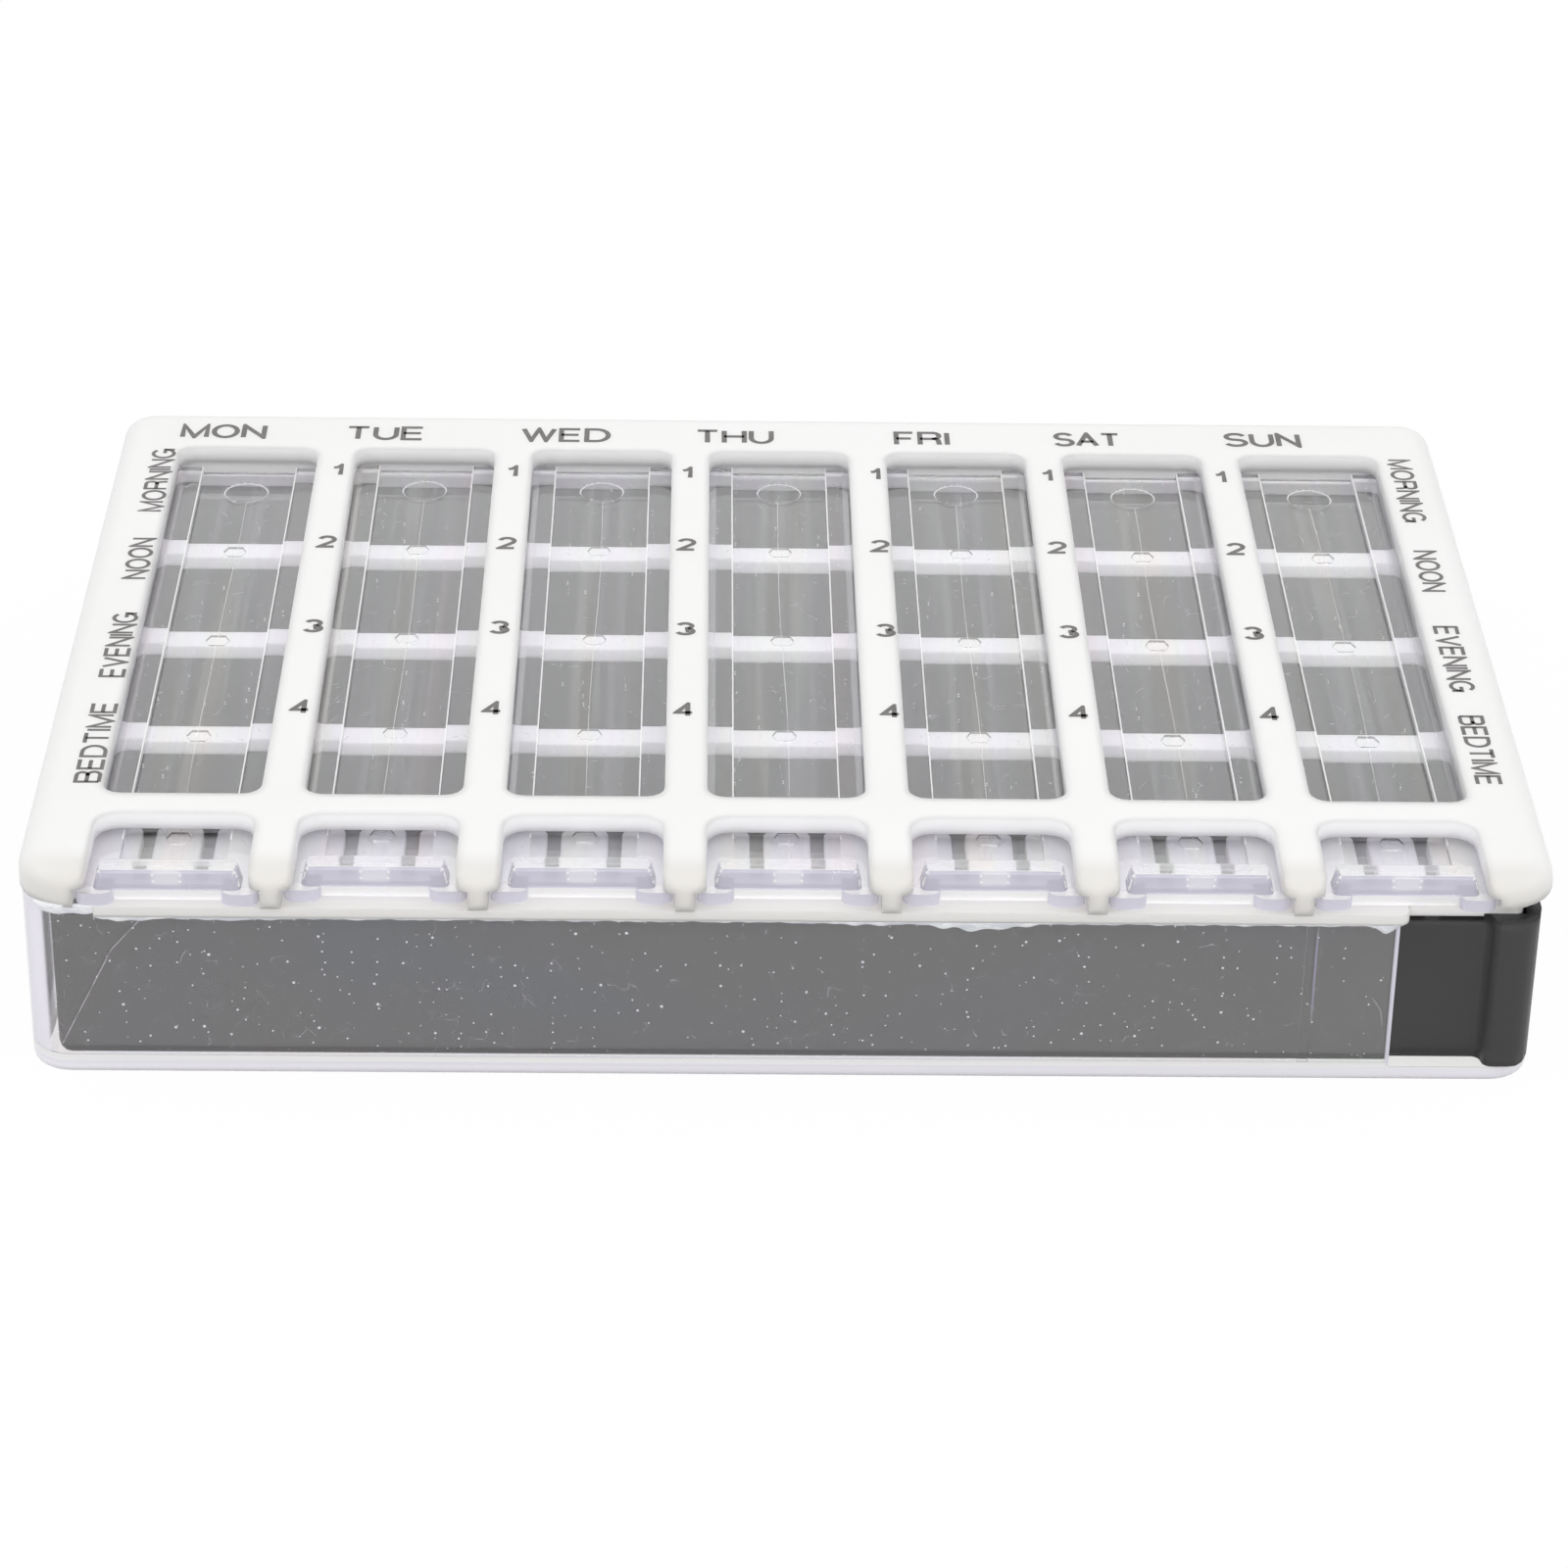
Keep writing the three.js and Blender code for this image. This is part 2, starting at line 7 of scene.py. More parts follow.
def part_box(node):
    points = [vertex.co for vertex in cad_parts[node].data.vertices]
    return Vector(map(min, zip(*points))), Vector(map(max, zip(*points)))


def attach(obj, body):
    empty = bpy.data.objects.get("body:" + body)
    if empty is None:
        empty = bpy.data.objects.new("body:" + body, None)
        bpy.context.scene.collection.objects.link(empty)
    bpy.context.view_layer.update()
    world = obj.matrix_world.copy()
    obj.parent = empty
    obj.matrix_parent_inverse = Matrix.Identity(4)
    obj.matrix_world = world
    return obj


# Looks of a weekly pill organizer, in metres: a white top frame and deck on a clear sleeve, seven clear
# sliding lids and a dark tray. X runs along the days, Y from front to back, Z up.

MM = 0.001
DAYS = ["MON", "TUE", "WED", "THU", "FRI", "SAT", "SUN"]

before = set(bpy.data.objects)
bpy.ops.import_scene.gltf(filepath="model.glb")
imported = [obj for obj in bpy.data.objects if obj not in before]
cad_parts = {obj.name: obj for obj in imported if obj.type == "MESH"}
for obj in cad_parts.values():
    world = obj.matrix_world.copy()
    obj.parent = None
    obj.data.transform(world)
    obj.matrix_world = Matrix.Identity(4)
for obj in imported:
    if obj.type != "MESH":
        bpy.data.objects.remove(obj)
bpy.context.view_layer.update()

frame_low, frame_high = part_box("top_frame")
sleeve_low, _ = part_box("clear_sleeve")
_, deck_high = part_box("deck")


# Camera, at the photograph's place and angle
CAMERA_PLACE = Vector((-10.721, -583.254, 335.987)) * MM
CAMERA_PITCH = math.radians(29.571)
CAMERA_YAW = math.radians(-1.1037)
CAMERA_ROLL = math.radians(0.9668)
CAMERA_SENSOR = 36.0
CAMERA_LENS = 109.872
CAMERA_NEAR = 0.01
CAMERA_FAR = 20


def make_camera():
    """A pinhole camera, turned by its yaw and pitched down, then rolled about its own axis."""
    data = bpy.data.cameras.new("camera")
    data.sensor_width = CAMERA_SENSOR
    data.sensor_fit = "HORIZONTAL"
    data.lens = CAMERA_LENS
    data.clip_start = CAMERA_NEAR
    data.clip_end = CAMERA_FAR
    camera = bpy.data.objects.new("camera", data)
    bpy.context.scene.collection.objects.link(camera)
    turn = Matrix.Rotation(CAMERA_YAW, 3, "Z")
    ahead = turn @ Vector((0, math.cos(CAMERA_PITCH), -math.sin(CAMERA_PITCH)))
    level_up = turn @ Vector((0, math.sin(CAMERA_PITCH), math.cos(CAMERA_PITCH)))
    level_right = turn @ Vector((1, 0, 0))
    right = math.cos(CAMERA_ROLL) * level_right + math.sin(CAMERA_ROLL) * level_up
    up = math.cos(CAMERA_ROLL) * level_up - math.sin(CAMERA_ROLL) * level_right
    axes = Matrix((right, up, -ahead)).transposed().to_4x4()
    camera.matrix_world = Matrix.Translation(CAMERA_PLACE) @ axes
    bpy.context.scene.camera = camera


make_camera()


# Materials. Their patterns are laid out in millimetres of the part. A noise has its blotches to the
# millimetre, its detail and sometimes a stretch and a shift, and a bump its strength and its height.
COLUMN_PITCH = 26
# LILAC, PALE_LILAC and MILK colour painted light on the clear parts; MILK also colours their real marks and
# dirt
LILAC = (0.775, 0.76, 0.87, 1)
PALE_LILAC = (0.95, 0.925, 1.0, 1)
MILK = (0.97, 0.965, 0.965, 1)
MIX_COLOUR_A, MIX_COLOUR_B, MIX_COLOUR_OUT = 6, 7, 2
BEVEL_SAMPLES = 4
SPECK_LEAST = 0.5
SPECK_EDGE = (1, 0.5)
HAIRLINE_BEND_SCALE = 0.5
HAIRLINE_BEND_DETAIL = 1.0
HAIRLINE_BEND_REACH = 2.5
HAIRLINE_PATCHES = (0.45, 2.0, (1, 1, 1), 17.0)
HAIRLINE_FADE = 0.03


class Graph:
    """A material's nodes. A value given to an input is either a number or another node's output."""

    def __init__(self, name):
        self.material = bpy.data.materials.new(name)
        self.material.use_nodes = True
        self.nodes = self.material.node_tree.nodes
        self.links = self.material.node_tree.links
        self.shader = self.nodes["Principled BSDF"]
        self.coordinates = self.nodes.new("ShaderNodeTexCoord")
        self.place = self.scaled(self.coordinates.outputs["Object"], 1 / MM)

    def feed(self, socket, value):
        if isinstance(value, bpy.types.NodeSocket):
            self.links.new(value, socket)
        else:
            socket.default_value = value

    def node(self, kind, inputs, **settings):
        node = self.nodes.new(kind)
        for key, value in settings.items():
            setattr(node, key, value)
        for socket, value in inputs.items():
            self.feed(node.inputs[socket], value)
        return node

    def set(self, **inputs):
        """Sets the shader's inputs, named with underscores for spaces."""
        for name, value in inputs.items():
            self.feed(self.shader.inputs[name.replace("_", " ")], value)

    def math(self, operation, a, b=0.0, c=0.0):
        return self.node("ShaderNodeMath", {0: a, 1: b, 2: c}, operation=operation).outputs[0]

    def vector(self, operation, a, b):
        return self.node("ShaderNodeVectorMath", {0: a, 1: b}, operation=operation).outputs[0]

    def scaled(self, vector, scale):
        return self.node("ShaderNodeVectorMath", {0: vector, "Scale": scale}, operation="SCALE").outputs[0]

    def axes(self, vector):
        node = self.node("ShaderNodeSeparateXYZ", {0: vector})
        return node.outputs["X"], node.outputs["Y"], node.outputs["Z"]

    def step(self, value, start, end, low=0.0, high=1.0):
        """Goes softly from low to high as a value goes from start to end."""
        flip = start > end
        node = self.node("ShaderNodeMapRange", {
            "Value": value, "From Min": end if flip else start, "From Max": start if flip else end,
            "To Min": high if flip else low, "To Max": low if flip else high,
        }, interpolation_type="SMOOTHSTEP")
        return node.outputs["Result"]

    def noise(self, scale, detail, stretch=(1, 1, 1), shift=0.0):
        """Noise with a number of blotches to the millimetre, drawn out along an axis by a small factor."""
        place = self.vector("MULTIPLY", self.place, stretch)
        place = self.vector("ADD", place, (shift, shift, shift))
        node = self.node("ShaderNodeTexNoise", {"Vector": place, "Scale": scale, "Detail": detail})
        return node.outputs["Fac"]

    def colours(self, value, *stops):
        """A colour ramp with stops of (position, colour)."""
        node = self.node("ShaderNodeValToRGB", {"Fac": value})
        elements = node.color_ramp.elements
        elements.remove(elements[1])
        elements[0].position, elements[0].color = stops[0]
        for position, colour in stops[1:]:
            elements.new(position).color = colour
        return node.outputs["Color"]

    def blend(self, share, a, b):
        """Goes from one colour to another by a share."""
        node = self.node("ShaderNodeMix", {"Factor": share}, data_type="RGBA")
        self.feed(node.inputs[MIX_COLOUR_A], a)
        self.feed(node.inputs[MIX_COLOUR_B], b)
        return node.outputs[MIX_COLOUR_OUT]

    def bump(self, height, strength, distance, edge_radius=None):
        """Raises the surface by a height, with its edges softened where a radius is given."""
        inputs = {"Height": height, "Strength": strength, "Distance": distance}
        if edge_radius is not None:
            soft = self.node("ShaderNodeBevel", {"Radius": edge_radius}, samples=BEVEL_SAMPLES)
            inputs["Normal"] = soft.outputs["Normal"]
        node = self.node("ShaderNodeBump", inputs)
        self.set(Normal=node.outputs["Normal"])

    def most(self, *values):
        """The largest of some values."""
        whole = values[0]
        for value in values[1:]:
            whole = self.math("MAXIMUM", whole, value)
        return whole

    def stroke(self, across, up, start, end, width):
        """A thin straight mark between two points of a face, in that face's two axes."""
        (x0, z0), (x1, z1) = start, end
        length = math.hypot(x1 - x0, z1 - z0)
        dx, dz = (x1 - x0) / length, (z1 - z0) / length
        right = self.math("SUBTRACT", across, x0)
        rise = self.math("SUBTRACT", up, z0)
        along = self.math("ADD", self.math("MULTIPLY", right, dx), self.math("MULTIPLY", rise, dz))
        aside = self.math("SUBTRACT", self.math("MULTIPLY", rise, dx), self.math("MULTIPLY", right, dz))
        line = self.step(self.math("ABSOLUTE", aside), width, width / 2)
        within = self.math("MULTIPLY", self.step(along, 0, width), self.step(along, length, length - width))
        return self.math("MULTIPLY", line, within)

    def strokes(self, across, up, marks):
        return self.most(*(self.stroke(across, up, *mark) for mark in marks))

    def plane(self, across, up):
        return self.node("ShaderNodeCombineXYZ", {"X": across, "Y": up}).outputs[0]

    def specks(self, plane, cell, radius, kept):
        """Scattered dots on a face: one place in each cell, kept in a share of the cells."""
        node = self.node("ShaderNodeTexVoronoi", {"Vector": plane, "Scale": 1 / cell},
                         voronoi_dimensions="2D")
        chance, size, _ = self.axes(node.outputs["Color"])
        reach = self.math("MULTIPLY", self.math("ADD", size, SPECK_LEAST), radius / cell)
        dots = self.step(self.math("DIVIDE", node.outputs["Distance"], reach), *SPECK_EDGE)
        return self.math("MULTIPLY", dots, self.math("GREATER_THAN", chance, 1 - kept))

    def scratches(self, plane, cell, width, kept):
        """Short curved hairlines on a face: bits of the edges between cells, broken up by noise."""
        bend = self.node("ShaderNodeTexNoise", {
            "Vector": plane, "Scale": HAIRLINE_BEND_SCALE, "Detail": HAIRLINE_BEND_DETAIL,
        })
        place = self.vector("ADD", plane, self.scaled(bend.outputs["Color"], HAIRLINE_BEND_REACH))
        node = self.node("ShaderNodeTexVoronoi", {"Vector": place, "Scale": 1 / cell},
                         feature="DISTANCE_TO_EDGE", voronoi_dimensions="2D")
        line = self.step(node.outputs["Distance"], width / cell, width / cell / 2)
        patches = self.noise(*HAIRLINE_PATCHES)
        return self.math("MULTIPLY", line, self.step(patches, 1 - kept, 1 - kept + HAIRLINE_FADE))

    def within(self, value, low, high, soft):
        """1 between two values, and softly 0 outside them."""
        return self.math("MULTIPLY", self.step(value, low - soft, low), self.step(value, high + soft, high))

    def both(self, *masks):
        """Some masks and shares, multiplied."""
        whole = masks[0]
        for mask in masks[1:]:
            whole = self.math("MULTIPLY", whole, mask)
        return whole

    def let_lamps_through(self, tint):
        """Clear plastic casts no dark shadow: rays that light what is behind it go straight through it."""
        through = self.node("ShaderNodeBsdfTransparent", {"Color": tint})
        path = self.nodes.new("ShaderNodeLightPath")
        lighting = self.most(path.outputs["Is Shadow Ray"], path.outputs["Is Diffuse Ray"])
        mix = self.node("ShaderNodeMixShader", {
            "Fac": lighting, 1: self.shader.outputs["BSDF"], 2: through.outputs["BSDF"],
        })
        self.links.new(mix.outputs["Shader"], self.nodes["Material Output"].inputs["Surface"])


def grey(value):
    return (value, value, value, 1)


WHITE_IOR = 1.5
WHITE_SCATTER = 0.4
WHITE_DEPTH = 1.5 * MM
WHITE_BLOTCHES = (0.018, 2)
WHITE_TONES = ((0.3, (0.905, 0.90, 0.892, 1)), (0.7, (0.925, 0.92, 0.914, 1)))
WHITE_ROUGH_NOISE = (0.06, 3)
WHITE_ROUGHNESS = ((0.3, grey(0.30)), (0.7, grey(0.38)))
WHITE_GRAIN = (0.35, 3)
WHITE_BUMP = (0.05, 0.1 * MM)
FRAME_EDGE = 1.8 * MM
DECK_EDGE = 0.5 * MM

# The walls around the windows, painted a lighter white as painted light for the light bounced onto them: low,
# high and softness along each axis
RIM_PAINTED_LIGHT = (0.985, 0.98, 0.975, 1)
RIM_RANGES = ((-93, 93, 0.5), (-60.5, 61, 0.5), (25.3, 29.7, 0.2))

# The bars' noses, painted darker and warmer low at the front as painted shade: where the painted shade starts
# and is full, and the heights where it goes from weak to full
NOSE_PAINTED_SHADE = (0.79, 0.77, 0.74, 1)
NOSE_SHADE_Y = (-60.5, -68)
NOSE_SHADE_Z = (24, 26.5, 0.6, 1)


def make_white_plastic(name, edge_radius):
    """Glossy white moulded plastic, a trace warm, with soft edges, painted shade low at the front and painted
    light on the walls around the windows.
    """
    graph = Graph(name)
    place = graph.axes(graph.place)
    _, y, z = place
    # Painted light: the walls around the windows are made a lighter white
    rims = graph.both(*(graph.within(along, *span) for along, span in zip(place, RIM_RANGES)))
    white = graph.blend(rims, graph.colours(graph.noise(*WHITE_BLOTCHES), *WHITE_TONES), RIM_PAINTED_LIGHT)
    # Painted shade: the noses go darker and warmer low at the front
    low_front_painted_shade = graph.both(graph.step(y, *NOSE_SHADE_Y), graph.step(z, *NOSE_SHADE_Z))
    graph.set(
        Base_Color=graph.blend(low_front_painted_shade, white, NOSE_PAINTED_SHADE),
        Roughness=graph.colours(graph.noise(*WHITE_ROUGH_NOISE), *WHITE_ROUGHNESS),
        IOR=WHITE_IOR, Subsurface_Weight=WHITE_SCATTER, Subsurface_Scale=WHITE_DEPTH,
    )
    graph.shader.inputs["Subsurface Radius"].default_value = (1, 1, 1)
    graph.bump(graph.noise(*WHITE_GRAIN), *WHITE_BUMP, edge_radius)
    return graph.material


TRAY_BLOTCHES = (0.04, 3)
TRAY_TONES = ((0.3, grey(0.026)), (0.7, grey(0.032)))
TRAY_ROUGH_NOISE = (0.12, 3)
TRAY_ROUGHNESS = ((0.3, grey(0.30)), (0.7, grey(0.38)))
TRAY_GRAIN = (0.25, 2)
TRAY_BUMP = (0.05, 0.05 * MM)
TRAY_EDGE = 1.0 * MM
RIDGE_EDGE = 2.6 * MM
RIDGE_X = (88, 89)


def make_grey_plastic():
    """Dark grey tray plastic with a fine satin grain and softer edges on its finger ridges."""
    graph = Graph("grey_plastic")
    on_ridge = graph.step(graph.axes(graph.place)[0], *RIDGE_X)
    edge_radius = graph.math("ADD", TRAY_EDGE, graph.math("MULTIPLY", on_ridge, RIDGE_EDGE - TRAY_EDGE))
    graph.set(
        Base_Color=graph.colours(graph.noise(*TRAY_BLOTCHES), *TRAY_TONES),
        Roughness=graph.colours(graph.noise(*TRAY_ROUGH_NOISE), *TRAY_ROUGHNESS),
    )
    graph.bump(graph.noise(*TRAY_GRAIN), *TRAY_BUMP, edge_radius)
    return graph.material


# A lid's masks. An edge says where a mask is 0 and then where it is 1, and sometimes its two shares. A range
# has its low, its high and its softness. Y and Z are the part's, with a lid fully home, and aside is the
# distance from the lid's own middle.
LID_IOR = 1.5
LID_ROUGHNESS = 0.02
LID_TINT = (0.965, 0.96, 0.985, 1)
REST_SHIFTS = {"MON": 1.2, "SAT": 0.5, "SUN": 0.5}
UPRIGHT = (0.75, 0.25)
LEVEL = (0.9, 0.97)
# Painted light: the front faces, the grip's face and ends and the face between the feet are made lilac and
# milk-white, standing in for light the clear plastic gathers inside
FRONT_FACING = (0.25, 0.5)
FRONT_Y = (-64.1, -64.4)

GRIP_FACING = (0.1, 0.3)
GRIP_FACE_Y = (-64.95, -65.1)
ABOVE_RAILS_Z = (26.9, 27.1)
GRIP_END_Y = (-62, -64.5)
GRIP_END_ASIDE = (8.3, 8.7)
GRIP_LILAC = (0.60, 0.585, 0.69, 1)
# Painted highlights: the grip's rounded top and rear rims are made milk-white
GRIP_RIM_ASIDE = (8.9, 8.7)
GRIP_TOP_Z = (29.0, 29.1)
GRIP_TOP_FRONT_Y = (-65.15, -65, 0.06)
GRIP_TOP_REAR_Y = (-62.7, -62.4)
PANEL_BELOW_Z = (26.4, 26.3)
PANEL_ABOVE_Z = (25.8, 25.9)
GRIP_REAR_Y = (-61.8, -61.0, 0.1)

# Painted glints of the dimple, seen through the grip's front face
DIMPLE_GLINTS = [((1.65, 29.3), (1.85, 28.8), 0.22), ((1.8, 28.4), (1.55, 28.0), 0.22)]
DIMPLE_GLINT_SHARE = 0.8
# A painted image of the dimple, lighter on the grip's front face: how far aside, how high and its share
DIMPLE_IMAGE_ASIDE = (2.3, 1.2)
DIMPLE_IMAGE_Z = (27.3, 28.2)
DIMPLE_IMAGE_SHARE = 0.4
# Painted glints at the grip's top corners and down its sides
CORNER_GLINT = ((8.35, 29.5), (8.55, 29.1), 0.25)
SIDE_GLINT = ((8.75, 29.0), (9.15, 27.2), 0.2)
SIDE_GLINT_NOISE = (1.6, 1)
SIDE_GLINT_BREAKS = (0.45, 0.55)

BETWEEN_FEET_ASIDE = (6.9, 6.7)
NOTCH_Z = (27.05, 26.95)
NOTCH_Y = (-67, -64.4, 0.2)
# A painted pale V of light on the face between the feet: its top, its slope and its width
NOTCH_V_TOP = 26.3
NOTCH_V_SLOPE = 2.2
NOTCH_V_WIDTH = (0.35, 0.1)
# Painted light: the tops of the feet are made milk-white, standing in for the lit deck seen through them
FOOT_Z = (26.8, 26.9)
FOOT_Y = (-64.7, -65.1)
FOOT_ASIDE = (6.8, 7.1)

# Painted highlights along the rail edges
RAIL_EDGE_ASIDE = (6.77, 6.97, 0.06)
RAIL_EDGE_Z = (26.2, 26.3)
RAIL_EDGE_START_Y = (-61.7, -61.5)
RAIL_EDGE_FULL_Y = (-54, -52.5, 0.15, 1)

GATE_Y = 49.3
GATE_RING = (3.09, 3.23, 0.08)
GATE_Z = (25.7, 25.8)
LINE_DRIFT_NOISE = (0.012, 1, (2, 1, 0))
LINE_DRIFT = (0.2, 0.8, -0.6, 0.6)
LINE_WIDTH = (0.08, 0.03)
LINE_Y = (46.5, 46.1)
LINE_NOISE = (0.06, 2, (1, 1, 0))
LINE_BREAKS = (0.35, 0.6, 0.7, 1)

LID_SPECKS = (3, 0.12, 0.22)
LID_HAIRLINES = (5, 0.05, 0.38)
HAIRLINE_SHARE = 0.5
STREAK_NOISE = (0.8, 3, (1, 0.02, 0.02))
STREAKS = (0.4, 0.68)
STREAK_ASIDE = (6.5, 2, 0.3, 1)
STREAK_SHARE = 0.05
# More haze on the lid's front part, over the bay and the grip
FRONT_HAZE_Y = (-50.2, -51.4, 0, 0.16)
CLEAR_HAZE = 0.02
# Painted light on the lid's rear band and rear end, which reflect the frame's shaded rear wall and the dark
# gap under it
REAR_BAND_Y = (47.5, 50.3, 0.5)
REAR_BAND_SHARE = 0.1
REAR_END_Y = (50, 51, 0, 0.07)
# Painted light beside the outer bar, where the lid reflects the bar's shaded side wall
BESIDE_BAR = (9.4, 11, 0.3)
BESIDE_BAR_Y = (-48, -46)
BESIDE_BAR_SHARE = 0.16

# Shares of milk-white: the gate ring is a real mark, the rest are painted light, painted highlights and
# painted glints
LID_MILK_AND_PAINTED_LIGHT = {
    "front": 0.8, "grip_face": 0.8, "grip_ends": 0.4, "grip_rims": 0.6, "dimple_glints": 1,
    "corner_glints": 1, "notch_face": 0.85, "foot_top": 0.45, "rail_edge": 0.85, "ring": 0.8,
}
LINE_MILK = 0.3
DIRT_MILK = 0.7
# Painted light: a little milk-white on every upright face, which lightens their dark edges
UPRIGHT_MILK = 0.08
EDGE_COLOUR_FROM = (0.2, 0.3)
RAINBOW_NOISE = (0.2, 2, (1, 0.03, 0.03))
RAINBOW = (
    (0.30, (0.95, 0.92, 0.89, 1)), (0.42, (0.915, 0.93, 0.91, 1)),
    (0.54, (0.91, 0.915, 0.95, 1)), (0.68, (0.945, 0.905, 0.93, 1)),
)
LID_GRAIN = (0.8, 2, (1, 0.02, 0.02))
LID_BUMP = (0.08, 0.05 * MM)


def lid_painted_light_masks(graph, aside, y, z, ahead, upright, level):
    """Where a lid's painted light lies: its milk-lilac front faces and grip, and painted highlights and
    glints on its rims, feet and rail edges.
    """
    grip_face = graph.both(graph.step(y, *GRIP_FACE_Y), graph.step(z, *ABOVE_RAILS_Z),
                           graph.step(ahead, *GRIP_FACING))
    top_rims = graph.both(graph.step(z, *GRIP_TOP_Z), graph.most(graph.within(y, *GRIP_TOP_FRONT_Y),
                                                                 graph.step(y, *GRIP_TOP_REAR_Y)))
    rear_rim = graph.both(level, graph.step(z, *PANEL_BELOW_Z), graph.step(z, *PANEL_ABOVE_Z),
                          graph.within(y, *GRIP_REAR_Y))
    side_glint = graph.both(graph.stroke(aside, z, *SIDE_GLINT),
                            graph.step(graph.noise(*SIDE_GLINT_NOISE), *SIDE_GLINT_BREAKS))
    return {
        "front": graph.both(upright, graph.step(y, *FRONT_Y), graph.step(ahead, *FRONT_FACING)),
        "grip_face": grip_face,
        "grip_ends": graph.both(graph.step(z, *ABOVE_RAILS_Z), graph.step(y, *GRIP_END_Y),
                                graph.step(aside, *GRIP_END_ASIDE)),
        "grip_rims": graph.both(graph.step(aside, *GRIP_RIM_ASIDE), graph.most(top_rims, rear_rim)),
        "dimple_glints": graph.both(grip_face, DIMPLE_GLINT_SHARE, graph.strokes(aside, z, DIMPLE_GLINTS)),
        "corner_glints": graph.both(grip_face, graph.most(graph.stroke(aside, z, *CORNER_GLINT), side_glint)),
        "notch_face": graph.both(upright, graph.step(z, *NOTCH_Z), graph.within(y, *NOTCH_Y),
                                 graph.step(aside, *BETWEEN_FEET_ASIDE)),
        "foot_top": graph.both(level, graph.step(z, *FOOT_Z), graph.step(y, *FOOT_Y),
                               graph.step(aside, *FOOT_ASIDE)),
        "rail_edge": graph.both(graph.within(aside, *RAIL_EDGE_ASIDE), graph.step(z, *RAIL_EDGE_Z),
                                graph.step(y, *RAIL_EDGE_START_Y), graph.step(y, *RAIL_EDGE_FULL_Y)),
    }


def gate_ring(graph, column, y, z):
    """The ring that the gate leaves near a lid's rear end."""
    from_gate = graph.plane(column, graph.math("SUBTRACT", y, GATE_Y))
    distance = graph.node("ShaderNodeVectorMath", {0: from_gate}, operation="LENGTH").outputs["Value"]
    return graph.both(graph.within(distance, *GATE_RING), graph.step(z, *GATE_Z))


def witness_line(graph, column, y, level):
    """A faint line along a lid's middle that drifts a little and fades in places."""
    drift = graph.step(graph.noise(*LINE_DRIFT_NOISE), *LINE_DRIFT)
    off_line = graph.math("ABSOLUTE", graph.math("SUBTRACT", column, drift))
    return graph.both(graph.step(off_line, *LINE_WIDTH), graph.step(y, *LINE_Y), level,
                      graph.step(graph.noise(*LINE_NOISE), *LINE_BREAKS))


def lid_haze_and_painted_light(graph, aside, outward, y, level):
    """A lid's light streaks, more haze on its front part, and painted light on its rear band, its rear end
    and its side by the outer bar.
    """
    streaks = graph.both(graph.step(graph.noise(*STREAK_NOISE), *STREAKS), graph.step(aside, *STREAK_ASIDE),
                         STREAK_SHARE)
    front_haze = graph.math("ADD", graph.step(y, *FRONT_HAZE_Y), CLEAR_HAZE)
    rear = graph.most(graph.both(graph.within(y, *REAR_BAND_Y), graph.step(aside, *BETWEEN_FEET_ASIDE),
                                 REAR_BAND_SHARE), graph.step(y, *REAR_END_Y))
    painted_light_beside_bar = graph.both(graph.within(outward, *BESIDE_BAR), graph.step(y, *BESIDE_BAR_Y),
                            BESIDE_BAR_SHARE)
    on_level = graph.both(graph.most(rear, painted_light_beside_bar), level)
    return graph.math("ADD", graph.math("ADD", streaks, front_haze), on_level)


